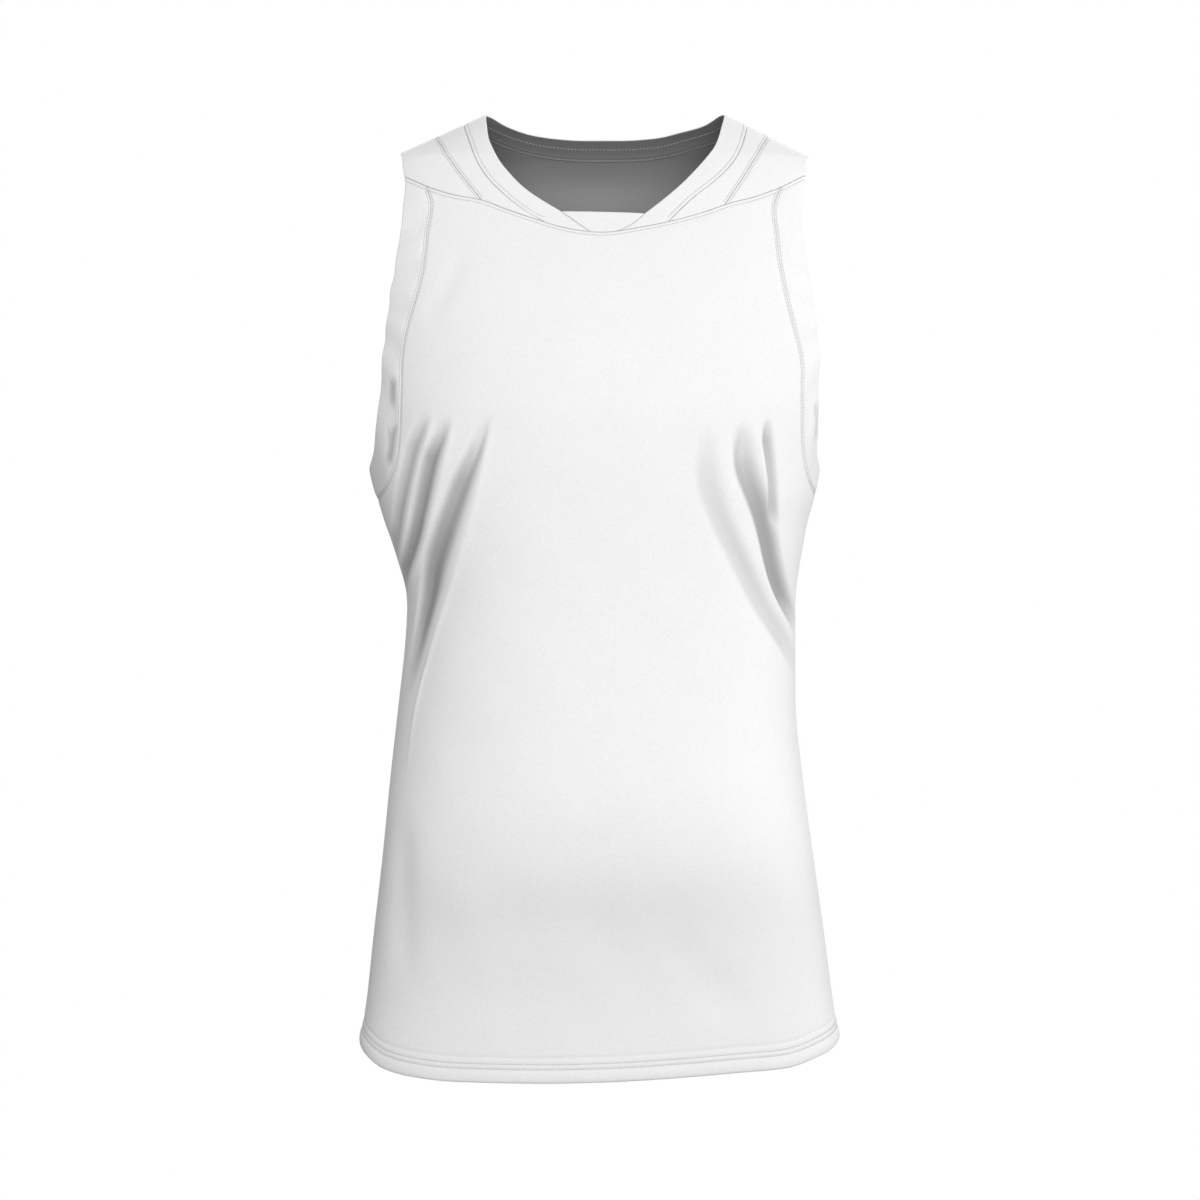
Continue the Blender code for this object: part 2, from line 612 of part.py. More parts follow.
# Neckband, one horseshoe: up the left front, round the back, down the right front
back_inner = seen(BACK_NECK_EDGE, True)
back_inner = settle(along(back_inner, shares(STEPS_NECK_BACK)))
back_inner[0], back_inner[-1] = L["neck_inner"][-1], R["neck_inner"][-1]
run = np.gradient(back_inner, axis=0)
run /= np.linalg.norm(run, axis=-1, keepdims=True)
back_outer = back_inner.copy()
for _ in range(6):
    way = np.cross(outward(back_outer), run)
    way /= np.linalg.norm(way, axis=-1, keepdims=True)
    way *= np.sign(way[len(way) // 2, 1])
    back_outer = settle(back_outer + way * NECKBAND_WIDTH / 6)
t = shares(STEPS_NECK_BACK)[:, None]
blend_left, blend_right = np.clip(1 - t * 6, 0, 1) ** 2, np.clip(1 - (1 - t) * 6, 0, 1) ** 2
back_outer += blend_left * (L["neck_outer"][-1] - back_outer[0])
back_outer += blend_right * (R["neck_outer"][-1] - back_outer[-1])
back_outer = settle(back_outer)
back_outer[0], back_outer[-1] = L["neck_outer"][-1], R["neck_outer"][-1]
outer = joined(L["neck_outer"], back_outer, R["neck_outer"][::-1])
inner = joined(L["neck_inner"], back_inner, R["neck_inner"][::-1])
end_left = L["seam"][CUTS[3]:][::-1]
end_right = R["seam"][CUTS[3]:][::-1]
wall("neckband", [fill(end_left, end_right, inner, outer)])

# Armhole bands
for word, H in (("left", L), ("right", R)):
    edge = joined(H["front_edge"], H["back_edge"])
    seam = joined(H["front_seam"], H["back_seam"])
    wall("armhole_band_" + word,
         [fill(H["seam"][:CUTS[1] + 1], straight(H["tip"], H["band_top"], STEPS_BAND), edge, seam)])

# Front and back panels. Each is an upper grid, between the armholes, and a lower one,
# between the side seams, that takes the bottoms of the armholes into its top edge
TOP_BACK = joined(straight(L["band_top"], L["neck_outer"][-1], STEPS_SHOULDER), back_outer,
                  straight(R["neck_outer"][-1], R["band_top"], STEPS_SHOULDER))
LEFT_SIDE, RIGHT_SIDE = side_seam(-1), side_seam(1)
for name, top, back in (("front_panel", TOP_FRONT, False), ("back_panel", TOP_BACK, True)):
    left = L["back_seam"][::-1] if back else L["front_seam"]
    right = R["back_seam"][::-1] if back else R["front_seam"]
    turn = -1 - STEPS_UNDERARM
    middle = level_line(left[turn], right[turn], len(top) - 1, back)
    upper = fill(top, middle, left[:turn + 1 or None], right[:turn + 1 or None])
    under = joined(left[turn:][::-1], middle, right[turn:])
    lower = fill(under, hem_curve(len(under), back), LEFT_SIDE, RIGHT_SIDE)
    wall(name, [upper, lower], thick_below=-3)
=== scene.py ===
"""Basketball jersey, filled out as worn, with its cloth, seams and stitches.

The cloth pieces lie on one body form, a stack of rounded level rings, and carry the
folds that gather under the arms. Metres, +Z up, the front faces -Y.
"""
import math

import bpy
import numpy as np
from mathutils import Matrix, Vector, kdtree


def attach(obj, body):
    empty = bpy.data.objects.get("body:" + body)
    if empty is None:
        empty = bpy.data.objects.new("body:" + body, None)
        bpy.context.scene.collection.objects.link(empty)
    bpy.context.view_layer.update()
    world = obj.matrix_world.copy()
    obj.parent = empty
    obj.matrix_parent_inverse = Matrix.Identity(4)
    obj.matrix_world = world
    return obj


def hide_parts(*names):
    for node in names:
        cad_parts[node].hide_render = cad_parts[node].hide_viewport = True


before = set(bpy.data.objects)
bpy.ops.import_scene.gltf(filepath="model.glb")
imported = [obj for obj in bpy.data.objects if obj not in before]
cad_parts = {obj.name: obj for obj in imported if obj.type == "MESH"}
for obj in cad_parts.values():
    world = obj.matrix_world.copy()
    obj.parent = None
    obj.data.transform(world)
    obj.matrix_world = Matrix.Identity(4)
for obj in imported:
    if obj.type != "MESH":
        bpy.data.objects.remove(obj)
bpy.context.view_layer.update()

bl_info = {
    "name": "Basketball Jersey",
    "version": (1, 0, 0),
    "blender": (4, 5, 0),
    "location": "3D View > Sidebar > Jersey",
    "description": "Sews a white sleeveless jersey from its cut pieces",
    "category": "Add Mesh",
}

RING_POWER = 2.2       # squareness of the level rings, 2 is an ellipse
SIGHT_DISTANCE = 4.5   # straight view from the front that the curves are measured in
SIGHT_X = -0.0016
SIGHT_Z = -0.3872
SENSOR = 36.0          # camera's sensor and lens, mm
LENS = 168.75
LIGHTS_AIM = -0.38     # height that the soft boxes point at

# Level rings of the form: height, half width left and right, depth front and back
RINGS = [
    (0.0120, 0.0679, 0.0760, 0.0180, 0.0260),
    (0.0000, 0.0945, 0.1000, 0.0260, 0.0360),
    (-0.0080, 0.1122, 0.1160, 0.0320, 0.0505),
    (-0.0143, 0.1262, 0.1286, 0.0370, 0.0600),
    (-0.0292, 0.1592, 0.1584, 0.0480, 0.0735),
    (-0.0340, 0.1698, 0.1680, 0.0512, 0.0760),
    (-0.0540, 0.1800, 0.1836, 0.0630, 0.0850),
    (-0.0770, 0.1880, 0.1890, 0.0730, 0.0915),
    (-0.1025, 0.1920, 0.1906, 0.0850, 0.0980),
    (-0.1500, 0.1924, 0.1908, 0.1040, 0.1050),
    (-0.1820, 0.1917, 0.1904, 0.1130, 0.1075),
    (-0.2130, 0.1910, 0.1875, 0.1190, 0.1080),
    (-0.2450, 0.1893, 0.1815, 0.1228, 0.1068),
    (-0.2760, 0.1866, 0.1745, 0.1228, 0.1035),
    (-0.2912, 0.1840, 0.1720, 0.1222, 0.1012),
    (-0.3072, 0.1790, 0.1696, 0.1216, 0.0985),
    (-0.3232, 0.1744, 0.1642, 0.1208, 0.0958),
    (-0.3392, 0.1684, 0.1616, 0.1200, 0.0930),
    (-0.3552, 0.1634, 0.1586, 0.1192, 0.0905),
    (-0.3872, 0.1556, 0.1544, 0.1180, 0.0860),
    (-0.4192, 0.1572, 0.1544, 0.1172, 0.0830),
    (-0.4672, 0.1624, 0.1546, 0.1168, 0.0830),
    (-0.5312, 0.1694, 0.1608, 0.1162, 0.0890),
    (-0.5952, 0.1758, 0.1694, 0.1095, 0.0985),
    (-0.6592, 0.1832, 0.1784, 0.0950, 0.1060),
    (-0.7072, 0.1882, 0.1846, 0.0900, 0.1095),
    (-0.7392, 0.1936, 0.1900, 0.0900, 0.1125),
    (-0.7700, 0.1975, 0.1935, 0.0910, 0.1150),
]

# Armholes, seen from the side about the middle of the hole: angle from straight
# down (front positive), then the radius of the edge and of the band's seam, left and right
ARMHOLE_MID = -0.156
ARMHOLES = [
    (180, 0.1268, 0.1360, 0.1244, 0.1336), (172, 0.1246, 0.1290, 0.1213, 0.1270),
    (165, 0.1137, 0.1190, 0.1120, 0.1180), (150, 0.0887, 0.1010, 0.0887, 0.1010),
    (135, 0.0724, 0.0852, 0.0724, 0.0852), (120, 0.0627, 0.0771, 0.0627, 0.0768),
    (105, 0.0573, 0.0732, 0.0573, 0.0728), (90, 0.0560, 0.0718, 0.0560, 0.0723),
    (75, 0.0580, 0.0738, 0.0580, 0.0750), (60, 0.0633, 0.0820, 0.0633, 0.0806),
    (45, 0.0757, 0.1028, 0.0757, 0.0975), (35, 0.0880, 0.1238, 0.0880, 0.1135),
    (25, 0.1045, 0.1445, 0.1045, 0.1313), (15, 0.1190, 0.1510, 0.1190, 0.1440),
    (0, 0.1270, 0.1515, 0.1270, 0.1480), (-15, 0.1205, 0.1470, 0.1205, 0.1440),
    (-30, 0.0980, 0.1285, 0.0980, 0.1270), (-45, 0.0785, 0.1035, 0.0785, 0.1035),
    (-60, 0.0665, 0.0880, 0.0665, 0.0880), (-75, 0.0612, 0.0815, 0.0612, 0.0815),
    (-90, 0.0600, 0.0800, 0.0600, 0.0800), (-105, 0.0622, 0.0815, 0.0622, 0.0815),
    (-120, 0.0690, 0.0875, 0.0690, 0.0875), (-133, 0.0815, 0.0990, 0.0815, 0.0990),
    (-146, 0.0980, 0.1160, 0.0978, 0.1155), (-156, 0.1128, 0.1290, 0.1120, 0.1280),
    (-168, 0.1266, 0.1375, 0.1250, 0.1355), (-180, 0.1268, 0.1360, 0.1244, 0.1336),
]

# Front seams and edges, in the straight view: across, up, in millimetres
YOKE_SEAM = [
    (-158.4, -48.4), (-137.6, -57.2), (-117.6, -63.2), (-97.6, -66.4), (-77.6, -74.0),
    (-53.6, -82.0), (-29.6, -89.2), (-8.0, -92.4), (2.4, -92.8), (22.4, -90.0),
    (52.0, -84.4), (82.4, -76.4), (102.4, -69.2), (118.4, -65.6), (142.4, -57.2),
    (161.6, -47.6),
]
DIAGONAL_LEFT = [(-134.4, -18.4), (-116.0, -42.4), (-97.6, -69.2)]
DIAGONAL_RIGHT = [(133.6, -19.2), (116.0, -44.0), (99.2, -72.6)]
NECK_SEAM_LEFT = [(-110.4, -8.0), (-101.6, -32.8), (-92.0, -48.8), (-77.6, -63.2),
                  (-65.6, -72.8), (-47.2, -86.4)]
NECK_SEAM_RIGHT = [(115.7, -10.0), (113.4, -19.5), (108.4, -31.5), (102.4, -40.0),
                   (90.8, -51.2), (72.8, -65.0), (52.4, -82.2)]
NECK_EDGE_LEFT = [(-92.0, 0.8), (-91.2, -16.0), (-87.2, -25.6), (-82.4, -35.2),
                  (-74.4, -44.8), (-65.6, -54.4), (-52.8, -64.0), (-32.8, -76.0)]
NECK_EDGE_RIGHT = [(97.6, 1.2), (93.6, -16.0), (90.4, -24.0), (81.6, -35.2),
                   (72.8, -44.8), (63.2, -54.4), (52.0, -64.0), (34.4, -77.6)]
INSERT_LEFT = [(-32.8, -76.0), (-16.8, -87.2), (-9.6, -95.0)]
INSERT_RIGHT = [(34.4, -77.6), (22.4, -87.2), (12.8, -94.4)]
BACK_NECK_EDGE = [(-92.0, 0.8), (-77.6, -7.2), (-57.6, -14.4), (-37.6, -17.6),
                  (-13.6, -19.2), (14.4, -19.2), (42.4, -17.6), (62.4, -12.8),
                  (82.4, -7.2), (97.6, 1.2)]
HEM_FRONT = [
    (-193.6, -738.0), (-188.8, -752.0), (-175.2, -762.4), (-152.8, -768.8),
    (-118.4, -772.8), (-49.6, -774.4), (-4.0, -773.6), (30.4, -772.0), (64.8, -769.6),
    (110.4, -765.6), (144.8, -762.4), (174.4, -752.0), (188.0, -742.4), (190.4, -736.0),
]
HEM_SIDE_LEFT = -0.7384
HEM_SIDE_RIGHT = -0.7360
BACK_HEM_DROP = 0.9    # the back hem hangs this share as far below the sides
HEM_DEPTH = 0.020      # height of the turned hem
HEM_ROWS = (0.026, 0.0235, 0.0218, 0.0206, 0.0200, 0.0192, 0.0180, 0.0168, 0.0160,
            0.0154, 0.0150, 0.0146, 0.0140, 0.0130, 0.0120, 0.0114, 0.0110, 0.0106,
            0.0100, 0.0088, 0.0072, 0.0055, 0.0038, 0.0024, 0.0014, 0.0008, 0.0004,
            0.00015, 0.0)
HEM_STITCHES = (0.0150, 0.0110)   # rows of stitches, above the edge
NECKBAND_WIDTH = 0.021
NECK_STITCHES = 0.0095            # row of stitches inside the back neck, below the edge
ARMHOLE_STITCHES = 0.0017         # rows of stitches, to each side of the seam
DIAGONAL_STITCHES = 0.0019
YOKE_STITCHES = 0.0028
NECKBAND_STITCHES = 0.0028

# Folds that gather under the arms. Each has a sharp crest, left of which the cloth sinks
# and comes back up: side, depth of the crease, width of the sinking part at the top and
# low down, width of the part that comes back, height of the crest (all mm), painted shade
# of the crease at the top and low down, share of the crest that the crease runs beside,
# then points of the crest in the straight view (mm)
FOLDS = [
    ("front", 3.2, 15.0, 14.0, 8.0, 0.7, 0.60, 0.55, 1.00,
     [(-134, -237), (-146, -283), (-159, -339), (-166, -372)]),
    ("front", 4.8, 15.0, 15.0, 8.0, 0.8, 0.95, 1.00, 1.00,
     [(-117, -240), (-128, -286), (-141, -339), (-156, -398)]),
    ("front", 6.8, 6.0, 26.0, 10.0, 0.8, 0.75, 1.05, 0.80,
     [(-86, -236), (-98, -294), (-110, -339), (-134, -416), (-151, -483), (-159, -545)]),
    ("front", 3.0, 22.0, 17.0, 12.0, 0.3, 0.25, 0.40, 1.00,
     [(90, -244), (106, -307), (130, -366), (155, -440)]),
    ("front", 7.2, 22.0, 17.0, 12.0, 0.5, 0.50, 1.00, 1.00,
     [(118, -239), (132, -284), (141, -316), (148, -360), (155, -402)]),
    ("front", 3.6, 9.0, 9.0, 5.0, 0.3, 0.75, 0.65, 1.00,
     [(136, -239), (142, -284), (143, -314), (144, -335)]),
    ("front", 1.2, 11.0, 11.0, 4.0, 0.1, 0.55, 0.55, 1.00,
     [(-162, -209), (-163, -221), (-165, -236)]),
    ("front", 1.2, 11.0, 11.0, 4.0, 0.1, 0.60, 0.60, 1.00,
     [(-162, -246), (-163, -266), (-166, -286)]),
    ("front", 0.8, 7.0, 7.0, 4.0, 0.1, 0.35, 0.35, 1.00,
     [(174, -224), (175, -244), (172, -264)]),
    ("back", 6.6, 5.0, 24.0, 6.0, 0.6, 0.45, 0.80, 0.80,
     [(-88, -243), (-104, -300), (-126, -370), (-150, -460)]),
    ("back", 4.6, 10.0, 14.0, 5.0, 0.5, 0.50, 0.70, 1.00,
     [(-112, -242), (-126, -290), (-140, -340), (-153, -392)]),
    ("back", 3.0, 9.0, 10.0, 5.0, 0.3, 0.40, 0.40, 1.00,
     [(-130, -240), (-142, -284), (-154, -330)]),
    ("back", 6.2, 10.0, 20.0, 8.0, 0.5, 0.40, 0.75, 0.90,
     [(94, -244), (108, -304), (128, -366), (150, -446)]),
    ("back", 4.6, 14.0, 14.0, 8.0, 0.4, 0.45, 0.70, 1.00,
     [(118, -242), (130, -288), (141, -330), (151, -382)]),
    ("back", 3.0, 8.0, 9.0, 5.0, 0.3, 0.45, 0.45, 1.00,
     [(134, -241), (141, -280), (146, -322)]),
]

# Broad soft swells and hollows: side, height, reach to each side (mm), then points of
# the line in the straight view (mm)
SWELLS = [
    ("front", -1.2, 9.0, [(-110, -100), (-125, -140), (-146, -170)]),
    ("front", -0.8, 16.0, [(33, -120), (36, -170), (27, -230)]),
    ("front", -2.4, 15.0, [(-158, -547), (-159, -627), (-158, -707)]),
    ("front", -1.5, 17.0, [(47, -652), (84, -690), (117, -726)]),
    ("front", 1.2, 24.0, [(-60, -640), (-20, -690), (40, -715)]),
    ("front", 1.0, 20.0, [(-120, -600), (-100, -660), (-90, -720)]),
    ("back", -2.0, 22.0, [(-40, -300), (-60, -400), (-90, -520)]),
    ("back", -2.0, 20.0, [(44, -320), (66, -410), (96, -505)]),
    ("back", 1.8, 26.0, [(0, -150), (4, -260), (-6, -360)]),
    ("back", -1.6, 24.0, [(-70, -640), (-20, -690), (60, -700)]),
]

# Rows of the cloth's mesh near a sewn or a cut edge, in metres from it
EDGE_STEPS = (0.0002, 0.0006, 0.0011, 0.0016, 0.0021, 0.0026, 0.0031, 0.0037, 0.0046,
              0.0062)
SMALL_CELL = 0.0028    # cells of the shoulder pieces
BAND_CELL = 0.0024     # cells of the armhole bands and the neckband
INSERT_CELL = 0.0025
BAND_ACROSS = 0.0165   # width that sets how many rows an armhole band has
BAND_RIPPLE = 0.0007   # height of the ripples along the armhole bands
DRAPE_HEIGHT = 0.0006  # height of the slow unevenness
UNDER_ARM = 0.73       # share of the band's seam at which a panel passes under the arm

# Heights between which painted shade darkens the outside low down, and the inside at the neck
LOW_SHADE_HEIGHTS = (-0.545, -0.640)
NECK_SHADE_HEIGHTS = (-0.072, -0.026)

# How the cloth shows at a sewn edge and under a row of stitches: depth, reach to each side
SEAM_DRAW, SEAM_REACH = 0.00065, 0.0008
STITCH_DRAW, STITCH_REACH = 0.00035, 0.0007
HEM_ROLL = 0.0011      # how far the rolled edge of the hem stands out
HEM_WELT, HEM_WELT_AT, HEM_REACH = 0.0003, 0.013, 0.0012
HEM_TURN_DRAW = 0.0005
FAR = 0.02             # beyond this, the distance to a seam or a stitch has no effect

# Cut of the cloth that shows, laid flat: width, length (m), area (m2). The widths and
# lengths are round estimates; the areas are set to the mesh's own
CUT_SIZES = {
    "front_panel": (0.47, 0.70, 0.290),
    "back_panel": (0.47, 0.76, 0.295),
    "yoke": (0.09, 0.08, 0.00285),
    "strip": (0.06, 0.09, 0.00240),
    "armhole_band": (0.62, 0.03, 0.0181),
    "neckband": (0.62, 0.03, 0.0120),
    "neck_insert": (0.075, 0.028, 0.00090),
}


# ---------------------------------------------------------------- the body form

def eased(xs, values):
    """A smooth curve through the values that never overshoots them."""
    xs = np.asarray(xs, float)
    values = np.asarray(values, float)
    if xs[0] > xs[-1]:
        xs, values = xs[::-1], values[::-1]
    step = np.diff(xs)
    slope = (np.diff(values, axis=0).T / step).T
    tangent = np.zeros_like(values)
    tangent[0], tangent[-1] = slope[0], slope[-1]
    before, after = slope[:-1], slope[1:]
    agree = before * after > 0
    total = np.where(agree, before + after, 1.0)
    tangent[1:-1] = np.where(agree, 2 * before * after / total, 0.0)

    def at(x):
        x = np.asarray(x, float)
        i = np.clip(np.searchsorted(xs, x) - 1, 0, len(xs) - 2)
        t = (x - xs[i]) / step[i]
        width = step[i]
        if values.ndim > 1:
            t, width = t[..., None], width[..., None]
        u = np.clip(t, 0.0, 1.0)
        inside = ((2 * u ** 3 - 3 * u ** 2 + 1) * values[i]
                  + (u ** 3 - 2 * u ** 2 + u) * width * tangent[i]
                  + (3 * u ** 2 - 2 * u ** 3) * values[i + 1]
                  + (u ** 3 - u ** 2) * width * tangent[i + 1])
        before_start = np.minimum(t, 0.0) * width * tangent[i]
        past_end = np.maximum(t - 1.0, 0.0) * width * tangent[i + 1]
        return inside + before_start + past_end
    return at


def softened(curve, low, high):
    """The curve with its corners eased, least at the shoulders, read off a fine table."""
    fine = np.arange(low, high, 0.0005)
    reach = np.interp(fine, [-0.13, -0.05], [0.010, 0.0012])
    spread = np.linspace(-2.5, 2.5, 41)
    weight = np.exp(-spread ** 2)
    weight /= weight.sum()
    values = sum(w * curve(fine + d * reach) for w, d in zip(weight, spread))

    def at(z):
        z = np.asarray(z, float)
        return np.stack([np.interp(z, fine, column) for column in values.T], -1)
    return at


ring_rows = eased([row[0] for row in RINGS], [row[1:] for row in RINGS])
ring_at = softened(ring_rows, -0.80, 0.03)


def reach(p):
    """Half width and depth of the ring at each point, on the point's own side."""
    ring = ring_at(p[..., 2])
    across = np.where(p[..., 0] < 0, ring[..., 0], ring[..., 1])
    deep = np.where(p[..., 1] < 0, ring[..., 2], ring[..., 3])
    return across, deep


def level(p):
    """Below 0 inside the form, 0 on it and above 0 outside."""
    across, deep = reach(p)
    return ((np.abs(p[..., 0]) / across) ** RING_POWER
            + (np.abs(p[..., 1]) / deep) ** RING_POWER - 1)


def slope_of(p):
    small = 4e-4
    out = np.zeros_like(p)
    for axis in range(3):
        move = np.zeros(3)
        move[axis] = small
        out[..., axis] = (level(p + move) - level(p - move)) / (2 * small)
    return out


def unit(ways):
    return ways / np.linalg.norm(ways, axis=-1, keepdims=True)


def outward(p):
    return unit(slope_of(p))


def settle(p, rounds=10):
    """Carry points straight onto the form."""
    p = np.array(p, float)
    for _ in range(rounds):
        g = slope_of(p)
        step = (level(p) / np.maximum((g * g).sum(-1), 1e-9))[..., None] * g
        size = np.linalg.norm(step, axis=-1, keepdims=True)
        p = p - step * np.minimum(1.0, 0.02 / np.maximum(size, 1e-9))
    return p


def depth_at(x, z, back=False):
    ring = ring_at(z)
    across = np.where(np.asarray(x) < 0, ring[..., 0], ring[..., 1])
    share = 1 - np.minimum(1.0, (np.abs(x) / across)) ** RING_POWER
    deep = share ** (1 / RING_POWER)
    return ring[..., 3] * deep if back else -ring[..., 2] * deep


def seen(points, back=False):
    """Points read in the straight view, in millimetres, carried onto the form."""
    points = np.asarray(points, float) / 1000
    x, z = points[..., 0], points[..., 1]
    for _ in range(12):
        y = depth_at(x, z, back)
        near = (SIGHT_DISTANCE + y) / SIGHT_DISTANCE
        x = SIGHT_X + (points[..., 0] - SIGHT_X) * near
        z = SIGHT_Z + (points[..., 1] - SIGHT_Z) * near
    return np.stack([x, depth_at(x, z, back), z], -1)


def on_ring(turn, z, back=False):
    """Points of the level rings at an angle round from the middle of the front or back."""
    ring = ring_at(z)
    across = np.where(turn < 0, ring[:, 0], ring[:, 1])
    deep = ring[:, 3] if back else -ring[:, 2]
    x = across * np.sign(turn) * np.abs(np.sin(turn)) ** (2 / RING_POWER)
    y = deep * np.abs(np.cos(turn)) ** (2 / RING_POWER)
    return np.stack([x, y, z], -1)


def on_armhole(angles, line, side):
    """Points of an armhole's edge (line 1) or band seam (line 2), on the form."""
    column = line if side < 0 else line + 2
    radius = eased([row[0] for row in ARMHOLES], [row[column] for row in ARMHOLES])(angles)
    turn = np.radians(angles)
    y = -radius * np.sin(turn)
    z = ARMHOLE_MID - radius * np.cos(turn)
    ring = ring_at(z)
    deep = np.where(y < 0, ring[..., 2], ring[..., 3])
    across = ring[..., 0] if side < 0 else ring[..., 1]
    x = across * (1 - np.minimum(1, np.abs(y) / deep) ** RING_POWER) ** (1 / RING_POWER)
    return np.stack([side * x, y, z], -1)


# ---------------------------------------------------------------- curves on the form

def run_of(points):
    return np.concatenate([[0], np.cumsum(np.linalg.norm(np.diff(points, axis=0), axis=1))])


def share_of_run(points):
    run = run_of(points)
    return run / run[-1]


def length_of(points):
    return run_of(points)[-1]


def sampled(line, shares):
    """Points of a fine line at shares of its length."""
    have = share_of_run(line)
    return np.stack([np.interp(shares, have, line[:, k]) for k in range(3)], -1)


def relaxed(line, span):
    """A fine even line with its bends shorter than the span eased, its ends kept."""
    step = length_of(line) / (len(line) - 1)
    span = min(span, length_of(line) / 6)
    room = int(2.5 * span / step)
    if room < 2:
        return line
    weight = np.exp(-(np.arange(-room, room + 1) * step / span) ** 2)
    before = 2 * line[0] - line[room:0:-1]
    after = 2 * line[-1] - line[-2:-room - 2:-1]
    long = np.concatenate([before, line, after])
    return np.stack([np.convolve(long[:, k], weight / weight.sum(), "valid")
                     for k in range(3)], -1)


def smooth_line(points, count=400, span=0.008):
    """A fine even line on a smooth curve through a few points."""
    points = np.asarray(points, float)
    run = run_of(points)
    line = sampled(eased(run, points)(np.linspace(0, run[-1], 4 * count)),
                   np.linspace(0, 1, count))
    return sampled(relaxed(line, span), np.linspace(0, 1, count))


def cut(line, start, end, count=300):
    return sampled(line, np.linspace(start, end, count))


def nearest_share(line, point):
    return share_of_run(line)[np.argmin(np.linalg.norm(line - point, axis=1))]


def joined(*lines):
    out = [lines[0]]
    for line in lines[1:]:
        out.append(line[1:])
    return np.concatenate(out)


def straight(a, b, count=60):
    t = np.linspace(0, 1, count)[:, None]
    return (1 - t) * a + t * b


def beside(line, distance):
    """The line moved sideways over the form, positive to the left of its run."""
    out = line.copy()
    for _ in range(3):
        way = unit(np.cross(outward(out), unit(np.gradient(out, axis=0))))
        out = settle(out + way * distance / 3, 4)
    return out


def stops(length, cell, first=EDGE_STEPS, last=EDGE_STEPS):
    """Shares along a side, close together near its ends and a cell apart between.

    The cell is one size, or pairs of a share of the side and the size there.
    """
    start, end = [0.0, *first], [length - d for d in reversed((0.0, *last))]
    shares, sizes = zip(*cell) if isinstance(cell, (list, tuple)) else ((0, 1), (cell, cell))
    fine = np.linspace(start[-1], end[0], 3000)
    density = 1 / np.interp(fine / length, shares, sizes)
    total = np.concatenate([[0], np.cumsum((density[1:] + density[:-1]) / 2 * np.diff(fine))])
    count = max(1, round(total[-1]))
    middle = np.interp(np.linspace(0, total[-1], count + 1), total, fine)[1:-1]
    return np.array([*start, *middle, *end]) / length


def level_line(a, b, back=False, count=400):
    """Line on the front or the back of the form from one point to another."""
    def turn_of(p):
        across, _ = reach(np.array(p))
        ratio = min(1.0, abs(p[0]) / across) ** (RING_POWER / 2)
        return math.copysign(math.asin(ratio), p[0])
    t = np.linspace(0, 1, count)
    turn = turn_of(a) + (turn_of(b) - turn_of(a)) * t
    line = on_ring(turn, a[2] + (b[2] - a[2]) * t, back)
    line[0], line[-1] = a, b
    return line


def fill(top, bottom, left, right):
    """Grid of points on the form between four sides that share their corners."""
    v = (share_of_run(left) + share_of_run(right))[:, None, None] / 2
    s = (share_of_run(top) + share_of_run(bottom))[None, :, None] / 2
    corners = ((1 - v) * (1 - s) * top[0] + (1 - v) * s * top[-1]
               + v * (1 - s) * bottom[0] + v * s * bottom[-1])
    grid = ((1 - v) * top[None] + v * bottom[None]
            + (1 - s) * left[:, None] + s * right[:, None] - corners)
    grid = settle(grid)
    grid[0], grid[-1], grid[:, 0], grid[:, -1] = top, bottom, left, right
    return grid


def quilted(top, bottom, left, right, cell, across=None):
    """A filled grid, its steps worked out from its width and the lengths of its sides."""
    along_top = stops(across or (length_of(top) + length_of(bottom)) / 2, cell)
    down = stops((length_of(left) + length_of(right)) / 2, cell)
    return fill(sampled(top, along_top), sampled(bottom, along_top),
                sampled(left, down), sampled(right, down))


